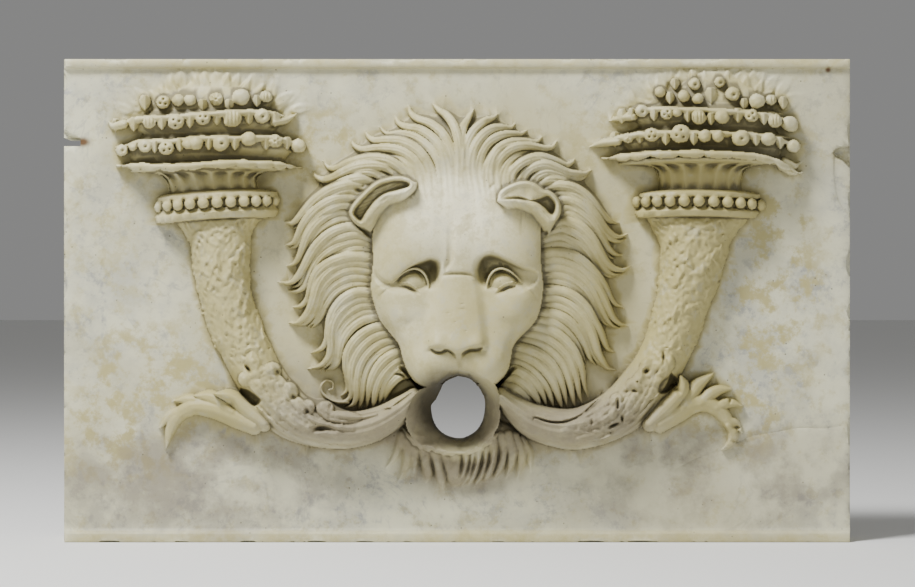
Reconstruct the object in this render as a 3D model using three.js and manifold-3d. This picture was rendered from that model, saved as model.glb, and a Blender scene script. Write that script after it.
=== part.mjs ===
// Marble wall panel carved with a lion mask between two cornucopias, pierced at the mouth for a water pipe.
// One block of stone, so one mesh. It is drawn lying flat, with X to the right, Y up the panel and Z out of
// the ground face, and stood up at the end. Sizes are in millimetres.
import * as THREE from "three";
import { mergeVertices } from "three/addons/utils/BufferGeometryUtils.js";
import Module from "manifold-3d";

// The slab and the plain bands along its top and bottom edges
const SLAB_WIDTH = 1100;
const SLAB_HEIGHT = 676;
const SLAB_THICKNESS = 80;
const TOP_BAND_HEIGHT = 12;
const BOTTOM_BAND_HEIGHT = 16;
const BAND_PROUD = 7;
const BAND_BEVEL = 4;

// The pierced mouth
const SPOUT_WIDTH = 73;
const SPOUT_HEIGHT = 91;
const BASIN_WIDTH = 128;
const BASIN_HEIGHT = 108;
const BASIN_DEPTH = 26;
const LIP_PROUD = 34;

// The cramp slots cut into the two side edges
const SLOT_DEPTH = 23;
const SLOT_HEIGHT = 12;
const SLOT_UP = 560;
const REPAIR_DEPTH = 20;
const REPAIR_HEIGHT = 96;
const REPAIR_UP = 502;
const REPAIR_RECESS = 3;

// The carving. Its places and widths are percentages of the head's height, from the root of the nose
const HEAD_HEIGHT = 420;
const NOSE_ROOT_UP = 375;
const HEAD_PROUD = 116;
const MANE_LOCKS = 20;
const BEARD_LOCKS = 11;
const LOCK_RIDGE = 6;
const TIP_THICKNESS = 7;
const EAR_PROUD = 94;
const HORN_PROUD = 46;
const COLLAR_PROUD = 54;
const BEAD_DIAMETER = 16;
const BEAD_COUNT = 9;
const CREST_LEAVES = 7;
const CREST_PROUD = 7;

// How far each carved form is rooted in the slab, and the least width a form tapers to
const ROOT_DEPTH = 12;
const POINT_WIDTH = 0.8;

const wasm = await Module();
wasm.setup();

const { clamp, degToRad, lerp, smoothstep } = THREE.MathUtils;
const share = (percent) => (percent / 100) * HEAD_HEIGHT;
const at = (x, y) => new THREE.Vector2(share(x), share(y) + NOSE_ROOT_UP);

function solid(geometry) {
  const bare = geometry.clone();
  bare.deleteAttribute("normal");
  bare.deleteAttribute("uv");
  const merged = mergeVertices(bare, 1e-3);
  return new wasm.Manifold(
    new wasm.Mesh({
      numProp: 3,
      vertProperties: merged.attributes.position.array,
      triVerts: new Uint32Array(merged.index.array),
    }),
  );
}

// Moves every vertex of a geometry to place(vertex)
function reshape(geometry, place) {
  const position = geometry.getAttribute("position");
  const vertex = new THREE.Vector3();
  for (let i = 0; i < position.count; i += 1) {
    vertex.fromBufferAttribute(position, i);
    const moved = place(vertex);
    position.setXYZ(i, moved.x, moved.y, moved.z);
  }
  return geometry;
}

// A value read off a list of [place, value] pairs, on straight lines between them
function graded(pairs) {
  return (t) => {
    const next = pairs.findIndex(([place]) => place >= t);
    if (next === 0) return pairs[0][1];
    if (next < 0) return pairs[pairs.length - 1][1];
    const [a, low] = pairs[next - 1];
    const [b, high] = pairs[next];
    return lerp(low, high, (t - a) / (b - a));
  };
}

// A carved ridge along a path: a crest between two shoulders, with walls going down into the slab.
// half gives its half width, shoulder and crest their heights, each for t from 0 to 1 along the path.
function ridge(path, steps, { half, shoulder, crest }) {
  const SIDES = 5;
  const CREST_COSINE = 0.9;
  const tube = new THREE.CylinderGeometry(1, 1, 1, SIDES, steps);
  return reshape(tube, (p) => {
    const t = clamp(p.y + 0.5, 0, 1);
    const middle = path.getPoint(t);
    const along = path.getTangent(t);
    const across = Math.sign(Math.round(p.x * 100)) * Math.max(half(t), POINT_WIDTH);
    let up = -ROOT_DEPTH;
    if (p.z > CREST_COSINE) up = crest(t);
    else if (p.z > 0) up = shoulder(t);
    // The two end caps' middle vertices lie on the axis
    if (Math.hypot(p.x, p.z) < 0.5) up = lerp(-ROOT_DEPTH, shoulder(t), 0.5);
    return new THREE.Vector3(middle.x + along.y * across, middle.y - along.x * across, up);
  });
}

function slab() {
  const side = new THREE.Shape();
  side.moveTo(-SLAB_THICKNESS, 0);
  side.lineTo(BAND_PROUD, 0);
  side.lineTo(BAND_PROUD, BOTTOM_BAND_HEIGHT);
  side.lineTo(0, BOTTOM_BAND_HEIGHT + BAND_BEVEL);
  side.lineTo(0, SLAB_HEIGHT - TOP_BAND_HEIGHT - BAND_BEVEL);
  side.lineTo(BAND_PROUD, SLAB_HEIGHT - TOP_BAND_HEIGHT);
  side.lineTo(BAND_PROUD, SLAB_HEIGHT);
  side.lineTo(-SLAB_THICKNESS, SLAB_HEIGHT);
  side.closePath();
  const block = new THREE.ExtrudeGeometry(side, { depth: SLAB_WIDTH, bevelEnabled: false });
  return block.rotateY(-Math.PI / 2).translate(SLAB_WIDTH / 2, 0, 0);
}

// The cramp slot in the left edge and the shallow cut for a repair in the right edge
function edgeCuts() {
  const through = SLAB_THICKNESS + 2 * BAND_PROUD;
  const slot = new THREE.BoxGeometry(2 * SLOT_DEPTH, SLOT_HEIGHT, through);
  slot.translate(-SLAB_WIDTH / 2, SLOT_UP, -through / 2 + BAND_PROUD);
  const repair = new THREE.BoxGeometry(2 * REPAIR_DEPTH, REPAIR_HEIGHT, 2 * REPAIR_RECESS);
  repair.translate(SLAB_WIDTH / 2, REPAIR_UP, 0);
  return [slot, repair];
}

// The face: rounded forms that run into each other, named from the brow down.
// x, y, across and along are percentages of the head, foot and rise are shares of HEAD_PROUD.
const FACE_FORMS = [
  { form: "crown", x: 0, y: 12, across: 28, along: 26, foot: 0, rise: 0.66 },
  { form: "temple", x: 13, y: 5, across: 17, along: 22, foot: 0.1, rise: 0.58 },
  { form: "brow", x: 14.5, y: 9.5, across: 13, along: 8, turn: 12, foot: 0.5, rise: 0.34 },
  { form: "bridge", x: 0, y: -1, across: 9, along: 32, foot: 0.35, rise: 0.5 },
  { form: "nose pad", x: 0, y: -20.5, across: 10, along: 7, foot: 0.55, rise: 0.45 },
  { form: "cheek", x: 16.5, y: -10, across: 12.5, along: 16, foot: 0.25, rise: 0.45 },
  { form: "jowl", x: 11.5, y: -25, across: 9, along: 15, foot: 0.3, rise: 0.42 },
  { form: "lip", x: 8.2, y: -29, across: 9.5, along: 10, foot: 0.5, rise: 0.42 },
];
const SOCKET = { x: 12.5, y: 2, across: 7.5, along: 4.2, depth: 0.27 };
const FACE_BLEND = 0.1;

function dome(x, y, { across, along, turn = 0, foot, rise }) {
  const angle = degToRad(turn);
  const u = (x * Math.cos(angle) + y * Math.sin(angle)) / across;
  const v = (-x * Math.sin(angle) + y * Math.cos(angle)) / along;
  const reach = u * u + v * v;
  return reach < 1 ? foot + rise * Math.sqrt(1 - reach) : foot - rise * (reach - 1);
}

function smoothMax(a, b, width) {
  const near = Math.max(width - Math.abs(a - b), 0) / width;
  return Math.max(a, b) + (near * near * width) / 4;
}

// Height of the face at a place given in percentages of the head
function faceHeight(x, y) {
  let height = 0;
  for (const form of FACE_FORMS) {
    height = smoothMax(height, dome(Math.abs(x) - form.x, y - form.y, form), FACE_BLEND);
  }
  const u = (Math.abs(x) - SOCKET.x) / SOCKET.across;
  const v = (y - SOCKET.y) / SOCKET.along;
  height -= SOCKET.depth * Math.exp(-(u * u + v * v));
  return height * HEAD_PROUD;
}

// Half the face's width at a height up the head, both in percentages
const FACE_BOTTOM = -37;
const FACE_TOP = 30;
const faceHalfWidth = graded([
  [FACE_BOTTOM, 9],
  [-33.7, 15.3],
  [-28.7, 17],
  [-21, 20.7],
  [-14.7, 25.7],
  [-8.7, 27.8],
  [-3.7, 28.4],
  [5, 28],
  [11, 28.3],
  [18, 27.3],
  [25, 22],
  [FACE_TOP, 12],
]);

function face() {
  const COLUMNS = 16;
  const ROWS = 22;
  const block = new THREE.BoxGeometry(1, 1, 1, COLUMNS, ROWS, 1);
  return reshape(block, (p) => {
    const y = lerp(FACE_BOTTOM, FACE_TOP, p.y + 0.5);
    const x = 2 * p.x * faceHalfWidth(y);
    const place = at(x, y);
    return new THREE.Vector3(place.x, place.y, p.z > 0 ? faceHeight(x, y) : -ROOT_DEPTH);
  });
}

// An eyeball and its two lids, on the side given by -1 or 1
const EYE = { x: 15, y: -2, across: 4.7, along: 4.3, foot: 0.36, rise: 0.27 };
function eye(side) {
  const ball = new THREE.SphereGeometry(1, 8, 6);
  ball.scale(share(EYE.across), share(EYE.along), EYE.rise * HEAD_PROUD);
  const middle = at(side * EYE.x, EYE.y);
  ball.translate(middle.x, middle.y, EYE.foot * HEAD_PROUD);
  const LID_HALF = 0.55;
  const lidHeight = (EYE.foot + EYE.rise) * HEAD_PROUD;
  const lid = (points) =>
    ridge(new THREE.SplineCurve(points.map(([x, y]) => at(side * x, y))), 4, {
      half: () => share(LID_HALF),
      shoulder: () => lidHeight - 6,
      crest: () => lidHeight + 1,
    });
  const upper = lid([[20.5, -3], [18, 0.8], [14, 2.2], [11, 0], [10.3, -4]]);
  const lower = lid([[20, -3.2], [17.3, -4], [14.6, -5], [12.8, -6.3]]);
  return [ball, upper, lower];
}

// A cupped ear lying back over the mane
const EAR = { x: 23.5, y: 22, long: 12.5, wide: 6.6, turn: 33 };
function ear(side) {
  const middle = at(side * EAR.x, EAR.y);
  const shell = (long, wide, deep) => {
    const ball = new THREE.SphereGeometry(1, 9, 6);
    return ball.scale(share(long), share(wide), deep).rotateZ(side * degToRad(-EAR.turn));
  };
  const RIM = 2.2;
  const cup = shell(EAR.long - RIM, EAR.wide - RIM, EAR_PROUD * 0.3);
  cup.translate(middle.x, middle.y + share(RIM / 2), EAR_PROUD);
  const body = shell(EAR.long, EAR.wide, EAR_PROUD * 0.4);
  body.translate(middle.x, middle.y, EAR_PROUD * 0.6);
  return { body, cup };
}

// The mane and the beard: one sheet of locks round the face. Each lock sweeps downwards and flicks out at its
// tip. Bearings are in degrees from straight up; radii are in percentages, from the root of the nose.
const HALF_LOCKS = MANE_LOCKS + BEARD_LOCKS / 2;
const tipBearing = graded([[0, 0], [0.5, 6], [MANE_LOCKS - 0.5, 149], [MANE_LOCKS + 0.5, 160], [HALF_LOCKS, 180]]);
const tipRadius = graded([[0, 57], [100, 58.5], [137, 58], [149, 52], [160, 67], [172, 72], [180, 73]]);
const rootRadius = graded([
  [0, 17], [20, 19], [36, 25], [60, 26], [90, 24], [120, 25], [140, 27], [152, 33], [160, 50], [180, 55],
]);
const lockSweep = graded([[0, 0], [8, 5], [15, 10], [30, 15], [75, 20], [122, 20], [137, 12], [149, 6], [160, 0]]);
const lockLift = graded([[85, 0], [130, 9], [145, 6], [155, 0]]);
const rootHeight = graded([[0, 74], [36, 68], [60, 56], [90, 50], [150, 46], [160, 34], [180, 30]]);
const NOTCH_RADIUS = 0.89;
const ODD_LOCK_RADIUS = 0.93;
const RING_SHARES = [0, 0.25, 0.5, 0.7, 0.87, 1];

// Where the sheet's line numbered by a half or whole lock from the top stands on one of its rings
function lockPlace(lock, ring, side) {
  const bearing = tipBearing(lock);
  const groove = Number.isInteger(lock);
  const odd = Math.floor(lock) % 2 === 1;
  const far = tipRadius(bearing);
  const end = far * (groove ? NOTCH_RADIUS : 1) * (odd && !groove ? ODD_LOCK_RADIUS : 1);
  const root = rootRadius(bearing);
  const along = RING_SHARES[ring];
  const radius = lerp(root, end, along);
  const out = (radius - root) / (far - root);
  const turned = lockSweep(bearing) * (smoothstep(out, 0.3, 0.95) - 1);
  const lifted = lockLift(bearing) * Math.sin(Math.PI * clamp(out / 0.85, 0, 1));
  const angle = degToRad(bearing + turned - lifted);
  const rest = rootHeight(bearing) * (1 - out ** 2.2);
  const carved = (groove ? -LOCK_RIDGE : LOCK_RIDGE * (odd ? 0.4 : 1)) * Math.min(along * 2.5, 1);
  const place = at(side * radius * Math.sin(angle), radius * Math.cos(angle));
  return new THREE.Vector3(place.x, place.y, Math.max(rest + carved, TIP_THICKNESS));
}

function maneAndBeard() {
  const COLUMNS = 4 * HALF_LOCKS;
  const RINGS = 2 * RING_SHARES.length + 2;
  const disc = new THREE.SphereGeometry(1, COLUMNS, RINGS);
  return reshape(disc, (p) => {
    const column = Math.round((Math.atan2(p.z, -p.x) / (2 * Math.PI) + 1) * COLUMNS) % COLUMNS;
    const ring = Math.round((Math.acos(clamp(p.y, -1, 1)) / Math.PI) * RINGS);
    const fromTop = (COLUMNS / 2 - column) / 2;
    const front = ring < RINGS / 2;
    const step = Math.min(front ? ring : RINGS - ring, RING_SHARES.length);
    if (step === 0) return new THREE.Vector3(0, NOSE_ROOT_UP, front ? HEAD_PROUD / 2 : -2 * ROOT_DEPTH);
    const place = lockPlace(Math.abs(fromTop), step - 1, Math.sign(fromTop) || 1);
    if (ring === RINGS / 2) place.z = -ROOT_DEPTH;
    if (ring > RINGS / 2) place.z = -2 * ROOT_DEPTH;
    return place;
  });
}

// The broken lower lip, a thick rim round the mouth basin
function lip() {
  const rim = new THREE.CylinderGeometry(1, 1.1, 1, 16, 1).rotateX(Math.PI / 2);
  const middle = at(0, -46);
  rim.scale(BASIN_WIDTH * 0.5, BASIN_HEIGHT * 0.5, LIP_PROUD + ROOT_DEPTH);
  return rim.translate(middle.x, middle.y, (LIP_PROUD - ROOT_DEPTH) / 2);
}

function basin() {
  const hollow = new THREE.SphereGeometry(1, 16, 8);
  hollow.scale(BASIN_WIDTH * 0.44, BASIN_HEIGHT * 0.44, LIP_PROUD + BASIN_DEPTH);
  const middle = at(0, -45.5);
  return hollow.translate(middle.x, middle.y, LIP_PROUD);
}

function spout() {
  const outline = new THREE.Shape();
  outline.absellipse(0, 0, SPOUT_WIDTH / 2, SPOUT_HEIGHT / 2, 0, 2 * Math.PI);
  const reach = SLAB_THICKNESS + HEAD_PROUD + 2 * ROOT_DEPTH;
  const bore = new THREE.ExtrudeGeometry(outline, { depth: reach, bevelEnabled: false, curveSegments: 12 });
  const middle = at(0, -45);
  return bore.translate(middle.x, middle.y, -SLAB_THICKNESS - ROOT_DEPTH);
}

// One cornucopia, on the side given by -1 or 1: a horn that leaves the mouth, bends up and opens in a collar
const HORN_PLACES = [
  [14.7, -38], [20, -44.7], [27.3, -50.3], [37.3, -53.3], [48.3, -51.3], [57.3, -45.3],
  [65.3, -36.3], [70.7, -26], [74, -17], [76.7, -5.3], [79.3, 8], [80, 18.7],
];
const hornHalf = graded([[0, 5], [0.2, 6.6], [0.5, 7.6], [0.75, 8.4], [0.88, 10.2], [0.94, 12], [1, 18]]);
const hornProud = graded([[0, 62], [0.15, 50], [0.4, 44], [0.9, HORN_PROUD], [1, COLLAR_PROUD - 6]]);
const SHEATH_END = 0.52;
const SHEATH_VEIN = 5;

function horn(side) {
  const SIDES = 14;
  const STEPS = 13;
  const places = HORN_PLACES.map(([x, y]) => at(side * x, y));
  const path = new THREE.SplineCurve(places);
  const tube = new THREE.CylinderGeometry(1, 1, 1, SIDES, STEPS);
  return reshape(tube, (p) => {
    const t = clamp(p.y + 0.5, 0, 1);
    const middle = path.getPoint(t);
    const along = path.getTangent(t);
    const across = p.x * share(hornHalf(t));
    // Towards its foot the horn is sheathed in a leaf, with veins that run along it
    const vein = Math.round((Math.atan2(p.x, p.z) / Math.PI) * (SIDES / 2)) % 2 === 0 ? 1 : -1;
    const carved = t < SHEATH_END && p.z > 0.1 ? vein * SHEATH_VEIN * 0.5 : 0;
    const up = p.z > 0.1 ? p.z * hornProud(t) + carved : -ROOT_DEPTH * (1 - p.z);
    return new THREE.Vector3(middle.x + along.y * across, middle.y - along.x * across, up);
  });
}

// The sheath's curled lobes, and the leaf that turns off it and ends in a curling tip
const LEAF_LOBES = [
  [[52, -55], [46, -53], [40, -50.5], [37.5, -47]],
  [[61, -50], [54, -48.5], [49, -45], [47, -40.5]],
  [[67, -41], [62.5, -39.5], [58.5, -36], [57, -31.5]],
  [[73, -33], [69, -30.5], [65.5, -27], [64.5, -23]],
];
const LEAF_CURL = [
  [57, -48], [65, -45], [72.3, -43.5], [79, -43], [85.7, -43.5], [91, -46.5], [95, -51.5], [96.7, -58],
];
const LEAFLETS = [
  [[84, -44], [89, -41.5], [93.5, -43.5]],
  [[90, -46], [95, -46.5], [99, -50]],
  [[74, -44], [78, -39.5], [80.5, -38.5]],
];
function acanthus(side) {
  const leaf = (places, steps, half, proud, end) =>
    ridge(new THREE.SplineCurve(places.map(([x, y]) => at(side * x, y))), steps, {
      half: (t) => share(half * Math.sin(Math.PI * lerp(0.3, 0.97, t))),
      shoulder: (t) => proud * 0.7 * lerp(1, end, t),
      crest: (t) => proud * lerp(1, end, t),
    });
  return [
    ...LEAF_LOBES.map((places) => leaf(places, 3, 3.4, HORN_PROUD * 1.15, 0.9)),
    ...LEAFLETS.map((places) => leaf(places, 2, 2.4, HORN_PROUD * 0.36, 0.5)),
    leaf(LEAF_CURL, 6, 4.2, HORN_PROUD * 0.8, 0.3),
  ];
}

// The mouth of the horn and the heap of fruit, turned round one upright axis: collar, fluted neck, leafy rim
// and ledges for the fruit. Each row gives half width and height in percentages, how proud it stands, and
// how far every second line of it is cut back
const MOUTH_ROWS = [
  [18.6, -0.5, 50, 0], [19.8, 1.6, COLLAR_PROUD, 0], [18.4, 3, 50, 0], [18.4, 7, 50, 0],
  [19.8, 8.6, COLLAR_PROUD, 0], [15.2, 9.4, 42, 0.4], [15, 13, 41, 1.2], [18.5, 16.8, 50, 1.4],
  [29, 18.9, 66, 1.2], [29, 20.6, 66, 1.2], [24.6, 22.2, 54, 0], [27.6, 23.4, 57, 0],
  [27, 29.4, 54, 0], [23, 30.6, 44, 0], [25.8, 31.6, 47, 0], [24.8, 37.4, 43, 0],
  [18, 38.6, 31, 0], [16, 44, 26, 0], [9, 47, 14, 0],
];
const MOUTH_UP = 17;
const MOUTH_OUT = 82;
const HORN_TOP_OUT = 80.3;
const MOUTH_TILT = 3;

// Stands a form made round an upright axis on the panel, leaning out from the head
function onMouth(geometry, side) {
  return geometry.rotateZ(side * degToRad(-MOUTH_TILT)).translate(...at(0, MOUTH_UP).toArray(), 0);
}

const mouthOut = (up) => lerp(HORN_TOP_OUT, MOUTH_OUT, clamp(up / 20, 0, 1));

function mouth(side) {
  const LINES = 26;
  const profile = MOUTH_ROWS.map(([, up]) => new THREE.Vector2(1, up));
  const closed = [new THREE.Vector2(0, -0.5), ...profile, new THREE.Vector2(0, 47)];
  const turned = reshape(new THREE.LatheGeometry(closed, LINES), (p) => {
    const row = MOUTH_ROWS.find(([, up]) => Math.abs(up - p.y) < 1e-4);
    const line = Math.round((Math.atan2(p.x, p.z) / Math.PI) * (LINES / 2));
    const [half, up, proud, wave] = row;
    const radius = Math.hypot(p.x, p.z) * (half - (Math.abs(line) % 2) * wave);
    const depth = p.z > 0.01 ? (proud * radius) / half : ROOT_DEPTH;
    const reach = Math.hypot(p.x, p.z) || 1;
    const out = side * mouthOut(up) + (p.x / reach) * radius;
    const foot = p.z < 0.01 ? -ROOT_DEPTH : 0;
    return new THREE.Vector3(share(out), share(up), p.z * depth + foot);
  });
  return onMouth(turned, side);
}

// Sets a small form in a row round the mouth, at a bearing from the front
function round(geometry, side, { half, up, proud }, bearing) {
  const x = share(side * mouthOut(up) + half * Math.sin(bearing));
  return onMouth(geometry.translate(x, share(up), proud * Math.cos(bearing)), side);
}

function beads(side) {
  const row = { half: 19.2, up: 5.1, proud: COLLAR_PROUD };
  return Array.from({ length: BEAD_COUNT }, (_, i) => {
    const bearing = degToRad(lerp(-78, 78, i / (BEAD_COUNT - 1)));
    return round(new THREE.IcosahedronGeometry(BEAD_DIAMETER / 2, 0), side, row, bearing);
  });
}

// The seed heads stand in rows on the ledges, each turned outwards
const BUD_LENGTH = 22;
const BUD_ROWS = [
  { half: 28.6, up: 26.4, proud: 64, buds: 8, size: 2.9 },
  { half: 26.6, up: 34.4, proud: 53, buds: 7, size: 2.9 },
  { half: 18.5, up: 41.4, proud: 36, buds: 5, size: 2.7 },
];

function buds(side) {
  return BUD_ROWS.flatMap((row) =>
    Array.from({ length: row.buds }, (_, i) => {
      const bearing = degToRad(lerp(-76, 76, i / (row.buds - 1)));
      const wide = share(row.size);
      const bud = new THREE.CylinderGeometry(wide, wide * 0.8, BUD_LENGTH, 6);
      bud.rotateX(Math.PI / 2 - 0.1).rotateY(bearing * 0.8);
      return round(bud, side, row, bearing);
    }),
  );
}

// Pointed leaves in low relief that fan out behind the heap
function crest(side) {
  const LENGTH = 18;
  return Array.from({ length: CREST_LEAVES }, (_, i) => {
    const bearing = degToRad(lerp(-78, 78, i / (CREST_LEAVES - 1)));
    const leaf = new THREE.ConeGeometry(share(4), share(LENGTH), 4).scale(1, 1, CREST_PROUD / share(2));
    const foot = at(side * MOUTH_OUT + 22 * Math.sin(bearing), MOUTH_UP + 36 + 8 * Math.cos(bearing));
    return leaf.rotateZ(-bearing).translate(foot.x, foot.y, 0);
  });
}

function panel() {
  const sides = [-1, 1];
  const ears = sides.map(ear);
  const added = [
    face(),
    maneAndBeard(),
    ...ears.map(({ body }) => body),
    ...sides.flatMap(eye),
    ...sides.flatMap((side) => [horn(side), mouth(side)]),
    ...sides.flatMap(acanthus),
    ...sides.flatMap(beads),
    ...sides.flatMap(buds),
    ...sides.flatMap(crest),
    lip(),
  ];
  const cut = [...ears.map(({ cup }) => cup), ...edgeCuts(), basin(), spout()];
  let stone = solid(slab());
  for (const form of added) stone = stone.add(solid(form));
  for (const form of cut) stone = stone.subtract(solid(form));
  // A hollow shut in between two carved forms would be solid stone, so only the outer skin is kept
  return stone.decompose().reduce((a, b) => (a.volume() > b.volume() ? a : b));
}

function geometryOf(stone) {
  const { vertProperties, triVerts } = stone.getMesh();
  const geometry = new THREE.BufferGeometry();
  geometry.setAttribute("position", new THREE.BufferAttribute(vertProperties, 3));
  geometry.setIndex(new THREE.BufferAttribute(triVerts, 1));
  geometry.computeVertexNormals();
  return geometry;
}

const marble = new THREE.MeshStandardMaterial({ color: 0xcfc8b4, roughness: 0.55, metalness: 0 });
const lionMaskPanel = new THREE.Mesh(geometryOf(panel()), marble);
lionMaskPanel.name = "lion_mask_panel";
lionMaskPanel.rotation.x = Math.PI / 2;
lionMaskPanel.position.y = -SLAB_THICKNESS / 2;

const group = new THREE.Group();
group.add(lionMaskPanel);

export default group;
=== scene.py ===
"""Lion mask panel: one upright slab of white marble, carved in relief.

The front is carved on one fine grid. Each form of the carving is a short function that raises or cuts that
grid, from the places measured for it on the drawing. The grid is then given its sides and back.
"""

import math

import bpy
import numpy as np
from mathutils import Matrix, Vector


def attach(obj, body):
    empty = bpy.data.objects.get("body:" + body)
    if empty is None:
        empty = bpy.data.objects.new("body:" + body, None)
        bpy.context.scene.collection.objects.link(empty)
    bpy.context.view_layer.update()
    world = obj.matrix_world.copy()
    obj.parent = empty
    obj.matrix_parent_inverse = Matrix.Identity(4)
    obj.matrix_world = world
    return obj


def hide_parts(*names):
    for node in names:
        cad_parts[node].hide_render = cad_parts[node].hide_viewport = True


bl_info = {
    "name": "Lion mask panel",
    "version": (1, 0, 0),
    "blender": (4, 5, 0),
    "location": "3D View > Sidebar > Lion Mask Panel",
    "description": "Carves a marble panel with a lion's mask between two horns of plenty",
    "category": "Object",
}

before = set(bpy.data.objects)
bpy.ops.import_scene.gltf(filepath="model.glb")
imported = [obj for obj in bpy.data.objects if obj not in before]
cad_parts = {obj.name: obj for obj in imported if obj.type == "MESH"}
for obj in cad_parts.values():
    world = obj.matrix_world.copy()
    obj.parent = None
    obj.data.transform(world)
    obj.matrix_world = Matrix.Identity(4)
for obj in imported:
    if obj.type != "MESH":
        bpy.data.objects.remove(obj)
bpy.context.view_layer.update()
NODE = "lion_mask_panel"
BODY = "root"

# The slab in metres: half its width, its height, the front of its plain ground and its back
HALF_WIDTH = 0.55
FULL_HEIGHT = 0.676
GROUND_Y = -0.040
BACK_Y = 0.040
MILLIMETRE = 0.001

# The carving is laid out on a drawing grid: x to the right and y down, SQUARE metres to a step. The middle
# of the panel stands at x = 457 and its underside at y = 542. Heights above the ground are in millimetres.
SQUARE = 0.0014
MIDDLE = 457.0
UNDERSIDE = 542.0
PANEL_LEFT, PANEL_RIGHT = MIDDLE - HALF_WIDTH / SQUARE, MIDDLE + HALF_WIDTH / SQUARE
PANEL_TOP, PANEL_BOTTOM = UNDERSIDE - FULL_HEIGHT / SQUARE, UNDERSIDE
SIDES = (-1, 1)
# The middle line of the face, of the two eyes, and the root of the nose
FACE_MIDDLE = 457.5
EYES_MIDDLE = 457.7
NOSE_ROOT = (457, 274)
# The slot for a cramp in the left edge
SLOT_END, SLOT_MIDDLE, SLOT_HALF = 81.0, 142.0, 4.6
# A height that no carved form reaches down to, and a distance that nothing on the drawing is apart
NOWHERE = -99
FAR_OFF = 1e9
# The least length and width that anything is divided by
TINY = 1e-9
THINNEST = 0.3

# The camera stands this far from the ground, and sees the drawing so wide and round this middle
CAMERA_DISTANCE = 3.6
SENSOR_WIDTH = 36
FRAME_WIDTH = 915 * SQUARE
FRAME_MIDDLE = (457.5, 293.5)
# Everything further apart than this many degrees is a sharp edge
SHARP_ANGLE = 55
FLOOR_SIZE = 60


def mirrored(points, side, about):
    """Points given for the left side, turned over to the right side for side = 1"""
    return [(2 * about - p[0] if side > 0 else p[0], *p[1:]) for p in points]


def smooth_path(points, steps):
    """A Catmull-Rom curve through points, each of them a place followed by any other values"""
    places = np.array(points, dtype=float)
    padded = np.vstack([2 * places[0] - places[1], places, 2 * places[-1] - places[-2]])
    t = np.linspace(0, len(places) - 1, steps)
    i = np.minimum(t.astype(int), len(places) - 2)
    f = (t - i)[:, None]
    a, b, c, d = (padded[i + k] for k in range(4))
    return 0.5 * (2 * b + (c - a) * f + (2 * a - 5 * b + 4 * c - d) * f**2 + (3 * b - a - 3 * c + d) * f**3)


def ease(x, low, high):
    """0 up to low, 1 from high on, and a smooth step between"""
    t = np.clip((x - low) / (high - low), 0, 1)
    return t * t * (3 - 2 * t)


def bell(x):
    """1 at 0, falling to 0 within about 2 to either side"""
    return np.exp(-(x**2))


def smooth_max(a, b, width):
    """The greater of two surfaces, with a fillet of this width where they meet"""
    near = np.maximum(width - np.abs(a - b), 0) / width
    return np.maximum(a, b) + near * near * width / 4


def dome(x, y, across, along, turn=0.0):
    """1 at the middle of an oval, falling to 0 at its rim and below that outside"""
    c, s = math.cos(math.radians(turn)), math.sin(math.radians(turn))
    reach = ((x * c - y * s) / across) ** 2 + ((x * s + y * c) / along) ** 2
    return np.where(reach < 1, np.sqrt(np.maximum(1 - reach, 0)), 1 - reach)


def blurred(values, reach):
    """Each value replaced by the mean of those within reach of it, across and then down"""
    for axis in (0, 1):
        padded = np.concatenate([
            np.repeat(np.take(values, [0], axis), reach + 1, axis), values,
            np.repeat(np.take(values, [-1], axis), reach, axis)], axis)
        total = np.cumsum(padded, axis)
        width = 2 * reach + 1
        size = values.shape[axis]
        upper = np.take(total, range(width, width + size), axis)
        values = (upper - np.take(total, range(size), axis)) / width
    return values


def softened(values, reach):
    """Blurred twice, so that no edge of the blur shows"""
    return blurred(blurred(values, reach), reach)


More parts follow.
